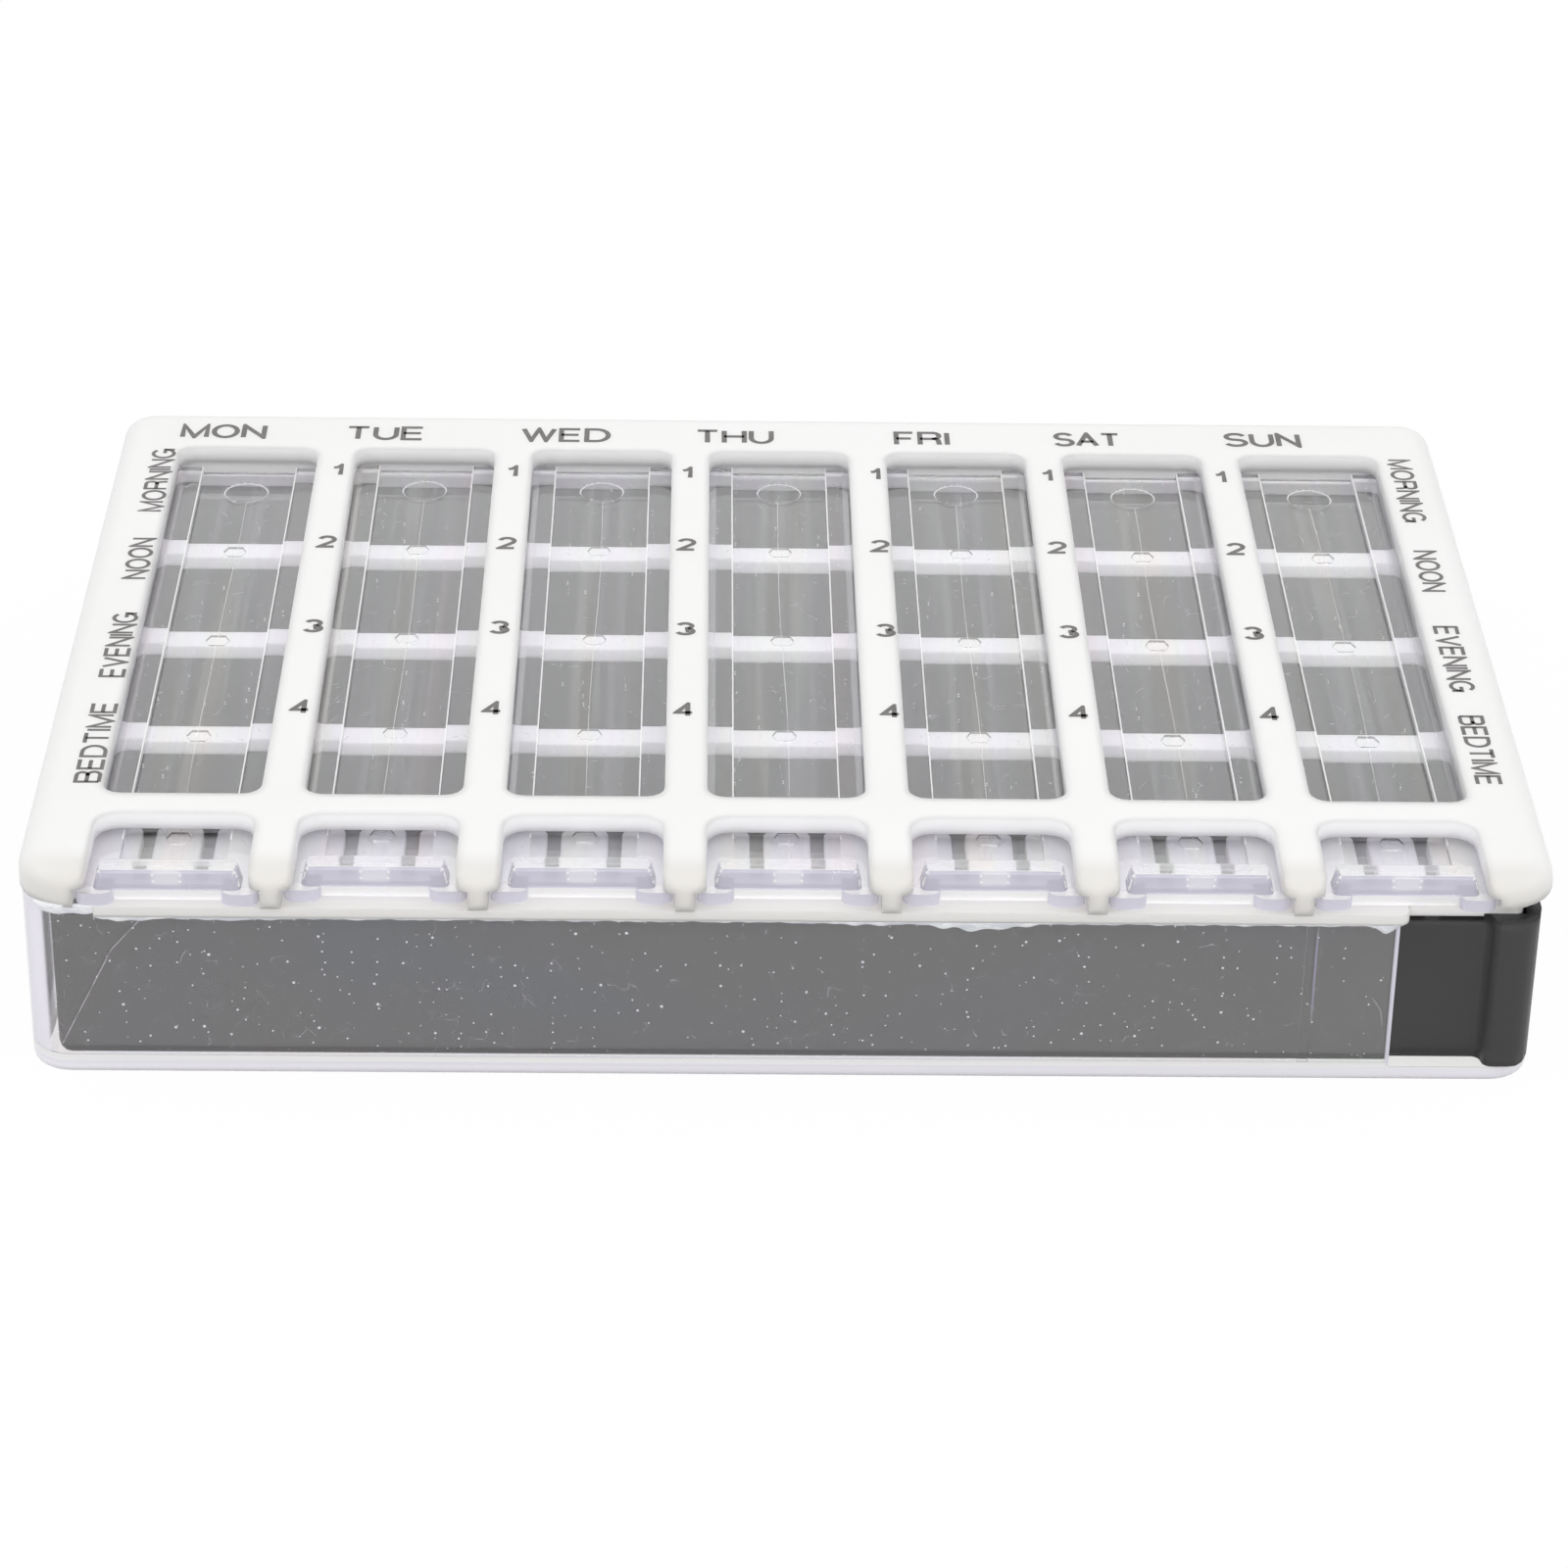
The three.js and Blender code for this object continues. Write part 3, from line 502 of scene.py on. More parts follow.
def make_lid_plastic(day):
    """Clear plastic with a gate ring, a witness line, haze and dirt, and painted light: milk-lilac front
    faces, painted highlights on rims, feet and rail edges, painted glints, and lighter patches where it
    reflects shaded walls.
    """
    graph = Graph("lid_plastic_" + day.lower())
    x, y, z = graph.axes(graph.place)
    y = graph.math("ADD", y, REST_SHIFTS.get(day, 0))
    _, ahead, rise = graph.axes(graph.coordinates.outputs["Normal"])
    ahead, rise = graph.math("ABSOLUTE", ahead), graph.math("ABSOLUTE", rise)
    upright, level = graph.step(rise, *UPRIGHT), graph.step(rise, *LEVEL)
    column = graph.math("WRAP", x, COLUMN_PITCH / 2, -COLUMN_PITCH / 2)
    aside = graph.math("ABSOLUTE", column)
    outward = graph.math("MULTIPLY", column, graph.math("SIGN", x))

    masks = lid_painted_light_masks(graph, aside, y, z, ahead, upright, level)
    masks["ring"] = gate_ring(graph, column, y, z)
    line = witness_line(graph, column, y, level)
    dirt = graph.most(graph.specks(graph.place, *LID_SPECKS),
                      graph.both(graph.scratches(graph.place, *LID_HAIRLINES), HAIRLINE_SHARE))
    milk_and_painted_light = graph.most(
        *(graph.both(masks[name], share) for name, share in LID_MILK_AND_PAINTED_LIGHT.items()),
        graph.both(line, LINE_MILK), graph.both(dirt, level, DIRT_MILK), graph.both(upright, UPRIGHT_MILK),
        lid_haze_and_painted_light(graph, aside, outward, y, level),
    )

    notch_v_place = graph.math("MULTIPLY", graph.math("SUBTRACT", NOTCH_V_TOP, z), NOTCH_V_SLOPE)
    off_notch_v = graph.math("ABSOLUTE", graph.math("SUBTRACT", aside, notch_v_place))
    painted_notch_v = graph.both(masks["notch_face"], graph.step(off_notch_v, *NOTCH_V_WIDTH))
    painted_dimple_image = graph.both(masks["grip_face"], graph.step(aside, *DIMPLE_IMAGE_ASIDE),
                             graph.step(z, *DIMPLE_IMAGE_Z), DIMPLE_IMAGE_SHARE)
    # Painted highlights and glints on rims, feet and rail edges, with the real witness line, dirt and gate
    # ring
    marks_and_painted_highlights = graph.most(line, dirt, *(masks[name] for name in (
        "rail_edge", "ring", "foot_top", "grip_rims", "dimple_glints", "corner_glints",
    )))
    # Painted light: lilac front faces, a darker lilac on the grip's face and milk-white between the feet
    edge = graph.blend(masks["grip_face"], graph.blend(masks["notch_face"], LILAC, MILK), GRIP_LILAC)
    for share, colour in ((painted_dimple_image, MILK), (painted_notch_v, PALE_LILAC), (marks_and_painted_highlights, MILK)):
        edge = graph.blend(share, edge, colour)
    rainbow = graph.colours(graph.noise(*RAINBOW_NOISE), *RAINBOW)
    graph.set(
        Base_Color=graph.blend(graph.step(milk_and_painted_light, *EDGE_COLOUR_FROM), rainbow, edge),
        Transmission_Weight=graph.math("SUBTRACT", 1.0, milk_and_painted_light),
        Roughness=LID_ROUGHNESS, IOR=LID_IOR,
    )
    graph.bump(graph.noise(*LID_GRAIN), *LID_BUMP)
    graph.let_lamps_through(LID_TINT)
    return graph.material


# The sleeve's masks, with edges and ranges as on the lids. The rounds of its left corners are told by how
# far a place is off the middle in y, less its x.
CLEAR_IOR = 1.57
SLEEVE_ROUGHNESS = 0.01
SLEEVE_TINT = (0.97, 0.965, 0.98, 1)
SLEEVE_HAZE = 0.036
SLEEVE_UPRIGHT = (0.9, 0.5)
FRONT_OUTER_Y = (-66.6, -66.9)
REAR_OUTER_Y = (66.6, 66.9)
LEFT_OUTER_X = (-95.9, -96.2)
RIGHT_OUTER_X = (95, 95.3)
LEFT_ROUND = (159.6, 160.2)
ABOVE_FLOOR_Z = (2.2, 2.4)
# Painted light: the floor's outer edges low down and the inner floor's edge are made pale lilac and
# milk-white in horizontal bands, for light the clear floor carries in
FLOOR_BELOW_Z = (3.0, 2.75)
INNER_FLOOR_Z = (2.25, 2.15)
FLOOR_LAYER_NOISE = (1.6, 2, (0.004, 0.004, 1))
FLOOR_LAYERS = (0.35, 0.65, 0.92, 1)
FLOOR_EDGE_MILK_Z = (1.7, 2.3)
# Painted light: a lilac strip on the front wall's end
WALL_END = (77.04, 78.4, 0.06)
WALL_END_SHARE = 0.65
WALL_END_LILAC = (0.86, 0.84, 0.95, 1)
# Painted light: the round left corner is made milk-white and lilac, for light the clear corner carries
SLEEVE_CORNER_X = (-93.5, -94.1)
SLEEVE_CORNER_Y = (-55, -60)
SLEEVE_CORNER_LILAC_Y = (-64.5, -62.5)
SLEEVE_CORNER_SHARE = 0.75
# A painted violet glint on the front wall at the detent
DETENT_GLINT_X = (66.95, 67.1, 0.15)
DETENT_GLINT_Z = (12, 20, 5)
DETENT_GLINT_SHARE = 0.3
VIOLET = (0.72, 0.66, 0.95, 1)

SLEEVE_SPECKS = [(1.7, 0.13, 0.3), (3.6, 0.19, 0.4)]
SLEEVE_HAIRLINES = (3.6, 0.04, 0.42)
FINE_MARK_SHARE = 0.7
LONG_SCRATCH = [((-81.0, 23.6), (-85.3, 18.6), 0.08), ((-85.3, 18.6), (-92.3, 4.4), 0.08)]
LONG_SCRATCH_NOISE = (0.5, 3)
LONG_SCRATCH_BREAKS = (0.3, 0.55, 0.4, 1)
LONG_SCRATCH_SHARE = 0.4
CURVED_SCRATCH = [((74.6, 12.6), (75.8, 10.8), 0.08), ((75.8, 10.8), (76.2, 8.4), 0.08)]
CURVED_SCRATCH_SHARE = 0.3
SLEEVE_EDGE_COLOUR_FROM = (0.1, 0.3)
FILM_NOISE = (0.02, 2, (1, 0, 1.5))
FILM = ((0.35, (0.93, 0.95, 1.0, 1)), (0.5, (0.96, 0.94, 0.95, 1)), (0.65, (0.95, 0.965, 0.945, 1)))
SLEEVE_WAVES = (0.09, 2)
SLEEVE_BUMP = (0.06, 0.2 * MM)


def sleeve_marks(graph, x, y, z):
    """Specks and hairlines on the sleeve's walls, with one long and one curved scratch at the front."""
    plane = graph.plane(graph.math("ADD", x, y), z)
    fine = graph.most(*(graph.specks(plane, *specks) for specks in SLEEVE_SPECKS),
                      graph.both(graph.scratches(plane, *SLEEVE_HAIRLINES), HAIRLINE_SHARE))
    broken = graph.step(graph.noise(*LONG_SCRATCH_NOISE), *LONG_SCRATCH_BREAKS)
    return graph.most(
        graph.both(fine, FINE_MARK_SHARE),
        graph.both(graph.strokes(x, z, LONG_SCRATCH), broken, LONG_SCRATCH_SHARE),
        graph.both(graph.strokes(x, z, CURVED_SCRATCH), CURVED_SCRATCH_SHARE),
    )


def make_sleeve_plastic():
    """Clear plastic with a slight haze, specks, hairlines and two longer scratches, and painted light: pale
    lilac and milk-white edges on the floor, the wall's end and the left corner, and a painted violet glint.
    """
    graph = Graph("clear_plastic")
    x, y, z = graph.axes(graph.place)
    _, _, rise = graph.axes(graph.coordinates.outputs["Normal"])
    upright = graph.step(graph.math("ABSOLUTE", rise), *SLEEVE_UPRIGHT)
    front = graph.step(y, *FRONT_OUTER_Y)
    left_round = graph.step(graph.math("SUBTRACT", graph.math("ABSOLUTE", y), x), *LEFT_ROUND)
    outer = graph.most(front, graph.step(y, *REAR_OUTER_Y), graph.step(x, *LEFT_OUTER_X),
                       graph.step(x, *RIGHT_OUTER_X), left_round)
    above_floor = graph.step(z, *ABOVE_FLOOR_Z)
    # Painted light on the floor's edges
    painted_light_floor_edge = graph.both(upright, graph.most(graph.both(outer, graph.step(z, *FLOOR_BELOW_Z)),
                                                graph.step(z, *INNER_FLOOR_Z)))
    layers = graph.step(graph.noise(*FLOOR_LAYER_NOISE), *FLOOR_LAYERS)
    # Painted light on the front wall's end and the round left corner
    wall_end = graph.both(graph.within(x, *WALL_END), above_floor)
    corner = graph.both(graph.step(x, *SLEEVE_CORNER_X), graph.step(y, *SLEEVE_CORNER_Y), above_floor)
    # Painted violet glint at the detent
    detent_glint = graph.both(upright, front, graph.within(x, *DETENT_GLINT_X),
                              graph.within(z, *DETENT_GLINT_Z))
    milk_and_painted_light = graph.most(
        graph.both(painted_light_floor_edge, layers), graph.both(wall_end, WALL_END_SHARE),
        graph.both(corner, SLEEVE_CORNER_SHARE), graph.both(detent_glint, DETENT_GLINT_SHARE),
        graph.both(sleeve_marks(graph, x, y, z), upright, outer), SLEEVE_HAZE,
    )
    edge = graph.blend(graph.both(painted_light_floor_edge, graph.step(z, *FLOOR_EDGE_MILK_Z)), PALE_LILAC, MILK)
    edge = graph.blend(graph.both(corner, graph.step(y, *SLEEVE_CORNER_LILAC_Y)), edge, LILAC)
    edge = graph.blend(wall_end, edge, WALL_END_LILAC)
    edge = graph.blend(detent_glint, edge, VIOLET)
    film = graph.colours(graph.noise(*FILM_NOISE), *FILM)
    graph.set(
        Base_Color=graph.blend(graph.step(milk_and_painted_light, *SLEEVE_EDGE_COLOUR_FROM), film, edge),
        Transmission_Weight=graph.math("SUBTRACT", 1.0, milk_and_painted_light),
        Roughness=SLEEVE_ROUGHNESS, IOR=CLEAR_IOR,
    )
    graph.bump(graph.noise(*SLEEVE_WAVES), *SLEEVE_BUMP)
    graph.let_lamps_through(SLEEVE_TINT)
    return graph.material


INK_NOISE = (0.5, 4)
INK_TONES = ((0.35, (0.128, 0.120, 0.118, 1)), (0.75, (0.178, 0.170, 0.168, 1)))
INK_ROUGHNESS = 0.5


def make_ink():
    """Grey printed ink, worn a little thin in places."""
    graph = Graph("ink")
    graph.set(Base_Color=graph.colours(graph.noise(*INK_NOISE), *INK_TONES), Roughness=INK_ROUGHNESS)
    return graph.material


GLUE_NOISE = (0.7, 3, (0.4, 1, 1))
GLUE_TONES = ((0.35, (0.89, 0.915, 0.97, 1)), (0.65, (0.96, 0.96, 0.98, 1)))
GLUE_CLARITY = (0.42, 0.62, 0.4, 0.05)
GLUE_ROUGHNESS = 0.15
GLUE_IOR = 1.45
GLUE_TINT = (0.93, 0.95, 0.97, 1)


def make_glue():
    """Cloudy clear glue with a bluish cast."""
    graph = Graph("glue")
    cloud = graph.noise(*GLUE_NOISE)
    graph.set(
        Base_Color=graph.colours(cloud, *GLUE_TONES), Transmission_Weight=graph.step(cloud, *GLUE_CLARITY),
        Roughness=GLUE_ROUGHNESS, IOR=GLUE_IOR,
    )
    graph.let_lamps_through(GLUE_TINT)
    return graph.material


frame_plastic = make_white_plastic("white_plastic", FRAME_EDGE)
deck_plastic = make_white_plastic("deck_plastic", DECK_EDGE)
grey_plastic = make_grey_plastic()
sleeve_plastic = make_sleeve_plastic()
ink = make_ink()
glue = make_glue()


# The CAD nodes: crisp at their sharp edges, with round rims on the frame and small rounds on the sleeve
WELD_DISTANCE = 0.001 * MM
FLAT_ANGLE = math.radians(0.5)
SHARP_ANGLE = math.radians(35)
RIM_REACH = 0.01 * MM
RIM_FRONT_INSET = 3.2 * MM
RIM_INSET = 5 * MM
FRAME_RIM_RADIUS = 1.0 * MM
FRAME_RIM_SEGMENTS = 6
SLEEVE_EDGE_RADIUS = 0.15 * MM
SLEEVE_EDGE_SEGMENTS = 2


def dress(name, material):
    """Gives a CAD node its material, smooth faces, and modifiers that weld it and join its flat faces."""
    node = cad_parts[name]
    node.data.materials.clear()
    node.data.materials.append(material)
    node.data.polygons.foreach_set("use_smooth", [True] * len(node.data.polygons))
    weld = node.modifiers.new("weld", "WELD")
    weld.merge_threshold = WELD_DISTANCE
    flat = node.modifiers.new("flat", "DECIMATE")
    flat.decimate_type = "DISSOLVE"
    flat.angle_limit = FLAT_ANGLE
    return node


def round_edges(node, radius, segments, group=None):
    """Rounds the edges between a group's vertices, or else every sharp edge."""
    bevel = node.modifiers.new("bevel", "BEVEL")
    bevel.width = radius
    bevel.segments = segments
    bevel.limit_method = "VGROUP" if group else "ANGLE"
    if group:
        bevel.vertex_group = group
    bevel.angle_limit = SHARP_ANGLE
    bevel.use_clamp_overlap = True


def make_crisp_group():
    """Geometry nodes that mark the edges where a mesh turns sharply."""
    group = bpy.data.node_groups.new("crisp_edges", "GeometryNodeTree")
    for way in ("INPUT", "OUTPUT"):
        group.interface.new_socket("Geometry", in_out=way, socket_type="NodeSocketGeometry")
    nodes, links = group.nodes, group.links
    start, end = nodes.new("NodeGroupInput"), nodes.new("NodeGroupOutput")
    angle = nodes.new("GeometryNodeInputMeshEdgeAngle")
    sharp = nodes.new("FunctionNodeCompare")
    sharp.data_type, sharp.operation = "FLOAT", "GREATER_THAN"
    sharp.inputs["B"].default_value = SHARP_ANGLE
    mark = nodes.new("GeometryNodeSetShadeSmooth")
    mark.domain = "EDGE"
    mark.inputs["Shade Smooth"].default_value = False
    links.new(angle.outputs["Unsigned Angle"], sharp.inputs["A"])
    links.new(sharp.outputs["Result"], mark.inputs["Selection"])
    links.new(start.outputs["Geometry"], mark.inputs["Geometry"])
    links.new(mark.outputs["Geometry"], end.inputs["Geometry"])
    return group


crisp_group = make_crisp_group()


def finish_normals(node):
    """Marks a node's sharp edges after its other modifiers, and evens out the shading of its flat faces."""
    crisp = node.modifiers.new("crisp", "NODES")
    crisp.node_group = crisp_group
    normals = node.modifiers.new("normals", "WEIGHTED_NORMAL")
    normals.keep_sharp = True


def rim_group(node, height, inside):
    """A group of the vertices at a height whose places pass a test."""
    chosen = [
        vertex.index for vertex in node.data.vertices
        if abs(vertex.co.z - height) < RIM_REACH and inside(vertex.co)
    ]
    group = node.vertex_groups.new(name="rims")
    group.add(chosen, 1, "REPLACE")
    return group.name


def on_frame_rim(place):
    """Whether a place lies inside the frame's outer outline, around its openings."""
    front, rear = frame_low.y + RIM_FRONT_INSET, frame_high.y - RIM_INSET
    return abs(place.x) < frame_high.x - RIM_INSET and front < place.y < rear


top_frame = dress("top_frame", frame_plastic)
frame_rims = rim_group(top_frame, frame_high.z, on_frame_rim)
round_edges(top_frame, FRAME_RIM_RADIUS, FRAME_RIM_SEGMENTS, frame_rims)
deck = dress("deck", deck_plastic)
sleeve = dress("clear_sleeve", sleeve_plastic)
round_edges(sleeve, SLEEVE_EDGE_RADIUS, SLEEVE_EDGE_SEGMENTS)
tray = dress("pill_tray", grey_plastic)
lids = [dress("lid_" + day.lower(), make_lid_plastic(day)) for day in DAYS]
for node in (top_frame, deck, sleeve, tray, *lids):
    finish_normals(node)


# The printed words and numbers: thin ink on the top frame, drawn as strokes of an even width. Places and
# sizes are in millimetres: a day's left, right and base, and the two ends of a word along the frame's side.
INK_THICKNESS = 0.03 * MM
DAY_HEIGHT = 4.75
DAY_PLACES = {
    "MON": (-88.6, -75.9, 58.3), "TUE": (-64.2, -52.5, 58.1), "WED": (-38.2, -24.9, 58.0),
    "THU": (-12.4, -0.7, 57.9), "FRI": (17.1, 25.4, 57.8), "SAT": (40.8, 50.9, 57.9),
    "SUN": (66.2, 77.7, 58.3),
}
NUMBER_XS = [-64.4, -38.9, -13.4, 14.1, 39.3, 64.75]
NUMBER_YS = {"1": 47.9, "2": 24.6, "3": -1.1, "4": -24.3}
NUMBER_SIZE = (2.8, 3.85)
ONE_WIDTH = 1.75
ONE_SHIFT = -0.17
LEFT_BAND = (-92.15, -88.6)
LEFT_SPANS = {
    "MORNING": (33.7, 54.5), "NOON": (12.5, 25.3), "EVENING": (-16.4, 2.4), "BEDTIME": (-45.1, -23.5),
}
RIGHT_BAND = (89.75, 93.25)
RIGHT_SPANS = {
    "MORNING": (33.6, 54.4), "NOON": (11.8, 24.6), "EVENING": (-17.6, 1.5), "BEDTIME": (-43.0, -24.2),
}
DAY_STROKE = 0.76
NUMBER_STROKE = 0.7
TIME_STROKE = 0.53
DAY_GAP = 0.16
TIME_GAP = 0.14
ARC_STEP = 12
CLOSED_SHARE = 0.1

# At a bend, the mitre's share is the stroke's half width divided by the corner's reach. Below the limit the
# corner's tip is cut flat, and below the least its reach grows no more.
MITRE_LIMIT = 0.7
MITRE_LEAST = 0.3


def arc(x, y, width, height, start, end):
    """Points of an ellipse's arc about a centre, between two angles in degrees."""
    count = max(2, round(abs(end - start) / ARC_STEP))
    angles = [math.radians(start + (end - start) * i / count) for i in range(count + 1)]
    return [(x + width * math.cos(angle), y + height * math.sin(angle)) for angle in angles]


# Each sign: its width beside its height, and its strokes in a box of 1 by 1
SIGNS = {
    "A": (1.1, [[(0, 0), (0.5, 1), (1, 0)], [(0.17, 0.34), (0.83, 0.34)]]),
    "B": (0.98, [[(0, 0), (0, 1), *arc(0.66, 0.765, 0.29, 0.235, 90, -90), (0, 0.53)],
                 [(0.6, 0.53), *arc(0.68, 0.265, 0.32, 0.265, 90, -90), (0, 0)]]),
    "D": (1.05, [[(0, 0), (0, 1), *arc(0.45, 0.5, 0.55, 0.5, 90, -90), (0, 0)]]),
    "E": (0.9, [[(1, 1), (0, 1), (0, 0), (1, 0)], [(0, 0.52), (0.93, 0.52)]]),
    "F": (0.82, [[(0, 0), (0, 1), (1, 1)], [(0, 0.5), (0.88, 0.5)]]),
    "G": (1.12, [[*arc(0.5, 0.5, 0.5, 0.5, 42, 330), (1, 0.45), (0.55, 0.45)], [(1, 0.45), (1, 0)]]),
    "H": (1.0, [[(0, 0), (0, 1)], [(1, 0), (1, 1)], [(0, 0.52), (1, 0.52)]]),
    "I": (0.0, [[(0, 0), (0, 1)]]),
    "M": (1.18, [[(0, 0), (0, 1), (0.5, 0), (1, 1), (1, 0)]]),
    "N": (1.0, [[(0, 0), (0, 1), (1, 0), (1, 1)]]),
    "O": (1.15, [arc(0.5, 0.5, 0.5, 0.5, 0, 360)]),
    "R": (0.98, [[(0, 0), (0, 1), *arc(0.68, 0.745, 0.28, 0.255, 90, -90), (0, 0.49)],
                 [(0.6, 0.49), *arc(0.68, 0.3, 0.24, 0.19, 90, 0), (0.96, 0)]]),
    "S": (0.98, [[*arc(0.5, 0.755, 0.46, 0.245, 20, 250), *arc(0.5, 0.255, 0.5, 0.255, 80, -160)]]),
    "T": (0.98, [[(0, 1), (1, 1)], [(0.5, 1), (0.5, 0)]]),
    "U": (1.0, [[(0, 1), *arc(0.5, 0.4, 0.5, 0.4, 180, 360), (1, 1)]]),
    "V": (1.05, [[(0, 1), (0.5, 0), (1, 1)]]),
    "W": (1.5, [[(0, 1), (0.26, 0), (0.5, 1), (0.74, 0), (1, 1)]]),
    "1": (1.0, [[(0, 0.74), (0.6, 0.79), (1, 1), (1, 0)]]),
    "2": (1.0, [[*arc(0.5, 0.71, 0.48, 0.29, 165, -35), (0, 0), (1, 0)]]),
    "3": (1.0, [[*arc(0.48, 0.765, 0.44, 0.235, 160, -90), *arc(0.48, 0.265, 0.52, 0.265, 90, -160)]]),
    "4": (1.0, [[(0.72, 0), (0.72, 1), (0, 0.27), (1, 0.27)]]),
}


def ribbon(stroke, half):
    """The two sides of a stroke of an even width, mitred at its bends and cut flat at its sharp ones."""
    points = [Vector(point) for point in stroke]
    closed = (points[0] - points[-1]).length < half * CLOSED_SHARE
    if closed:
        points = points[:-1]
    sides = []
    for i, point in enumerate(points):
        before = points[i - 1] if i or closed else None
        after = points[(i + 1) % len(points)] if i + 1 < len(points) or closed else None
        arriving = (point - before).normalized() if before is not None else (after - point).normalized()
        leaving = (after - point).normalized() if after is not None else arriving
        normal = Vector((-arriving.y - leaving.y, arriving.x + leaving.x)).normalized()
        share = max(normal.dot(Vector((-leaving.y, leaving.x))), MITRE_LEAST)
        reach = half / share
        turns_left = arriving.x * leaving.y > arriving.y * leaving.x
        outward = -normal if turns_left else normal
        legs = [(point - other).length for other in (before, after) if other is not None]
        tip, inner = point + outward * reach, point - outward * min(reach, max(half, min(legs)))
        tips = [tip]
        if share < MITRE_LIMIT:
            back = (reach - half / MITRE_LIMIT) / math.sqrt(1 - share ** 2)
            tips = [tip - arriving * back, tip + leaving * back]
        sides += [(inner, tip) if turns_left else (tip, inner) for tip in tips]
    return sides + sides[:1] if closed else sides


def printed(name, text, centre, size, stroke, letter_gap=0.0, turn=0.0):
    """A text in ink on the top frame, fitted to a size in millimetres and turned about its centre."""
    width, height = size[0] - stroke, size[1] - stroke
    shares = [SIGNS[sign][0] for sign in text]
    gap = letter_gap + stroke / height
    stretch = width / height / (sum(shares) + gap * (len(text) - 1))
    points, faces = [], []
    left = -width / 2
    for sign, share in zip(text, shares):
        for line in SIGNS[sign][1]:
            placed = [(left + x * share * stretch * height, y * height - height / 2) for x, y in line]
            for i, pair in enumerate(ribbon(placed, stroke / 2)):
                points += [(x * MM, y * MM, 0) for x, y in pair]
                if i:
                    last = len(points) - 1
                    faces.append((last - 3, last - 2, last, last - 1))
        left += (share + gap) * stretch * height
    mesh = bpy.data.meshes.new(name)
    mesh.from_pydata(points, [], faces)
    place = Vector((centre[0] * MM, centre[1] * MM, frame_high.z))
    mesh.transform(Matrix.Translation(place) @ Matrix.Rotation(turn, 4, "Z"))
    mesh.materials.append(ink)
    label = bpy.data.objects.new(name, mesh)
    bpy.context.scene.collection.objects.link(label)
    weld = label.modifiers.new("weld", "WELD")
    weld.merge_threshold = WELD_DISTANCE
    solid = label.modifiers.new("thickness", "SOLIDIFY")
    solid.thickness = INK_THICKNESS
    solid.offset = 0
    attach(label, "housing")


def middle_of(span):
    return sum(span) / 2


def length_of(span):
    return span[1] - span[0]


for day, (left, right, base) in DAY_PLACES.items():
    printed("day_" + day, day, ((left + right) / 2, base + DAY_HEIGHT / 2), (right - left, DAY_HEIGHT),
            DAY_STROKE, DAY_GAP)
for row, y in NUMBER_YS.items():
    for bar, x in enumerate(NUMBER_XS, 1):
        width, shift = (ONE_WIDTH, ONE_SHIFT) if row == "1" else (NUMBER_SIZE[0], 0)
        printed(f"number_{row}_bar_{bar}", row, (x + shift, y), (width, NUMBER_SIZE[1]), NUMBER_STROKE)
for side, band, spans, turn in (("left", LEFT_BAND, LEFT_SPANS, math.pi / 2),
                                ("right", RIGHT_BAND, RIGHT_SPANS, -math.pi / 2)):
    for word, span in spans.items():
        printed(f"{word.lower()}_{side}", word, (middle_of(band), middle_of(span)),
                (length_of(span), length_of(band)), TIME_STROKE, TIME_GAP, turn)


# The beads of glue, in millimetres: one under the front lip, and one between the sleeve's wall and the frame
# at the left corner. A swell has its place, its width and its height. Turns are radians to the millimetre.
BEAD_STEP = 0.4
BEAD_PROUD = 0.36
BEAD_SINK = 0.08
BEAD_HEIGHT = 0.36
BEAD_ARC_POINTS = 6
BEAD_LEAST = 0.08
BEAD_TAPER_STEPS = 4
BEAD_DROP = 1.6
BEAD_WAVE_HEIGHT = 0.1
BEAD_WAVE_TURNS = (0.9, 0.23)
BEAD_WAVE_SHIFT = 1
BEAD_RIPPLE_HEIGHT = 0.06
BEAD_RIPPLE_TURNS = 2.3
BEAD_RIPPLE_SHIFT = 0.7
BEAD_SWELLS = [(-84, 5, 0.4), (-70, 4, 0.3), (10, 6, 0.3), (24, 5.5, 1.0), (75.8, 1.1, 1.1)]
BEAD_SWELL_SHARE = 0.25
BEAD_SWELL_TURNS = 1.7
CORNER_BEAD_HEIGHT = 1.5
CORNER_BEAD_WAVE_HEIGHT = 0.08
CORNER_BEAD_WAVE_TURNS = 1.9
CORNER_BEAD_LEFT = -95.2
CORNER_BEAD_OVERLAP = 1.2
CORNER_BEAD_RISE = 0.1
SLEEVE_CORNER_RADIUS = 5.4


def bead_height(x):
    """How far the bead hangs down at a place along the lip, in millimetres."""
    fast, slow = BEAD_WAVE_TURNS
    wave = BEAD_WAVE_HEIGHT * math.sin(fast * x) * math.sin(slow * x + BEAD_WAVE_SHIFT)
    ripple = BEAD_RIPPLE_HEIGHT * math.sin(BEAD_RIPPLE_TURNS * x + BEAD_RIPPLE_SHIFT)
    swells = sum(height * math.exp(-((x - place) / width) ** 2) for place, width, height in BEAD_SWELLS)
    swells *= 1 + BEAD_SWELL_SHARE * math.sin(BEAD_SWELL_TURNS * x)
    return max(BEAD_HEIGHT + wave + ripple + swells, BEAD_LEAST)


def corner_bead_height(x):
    return CORNER_BEAD_HEIGHT + CORNER_BEAD_WAVE_HEIGHT * math.sin(CORNER_BEAD_WAVE_TURNS * x)


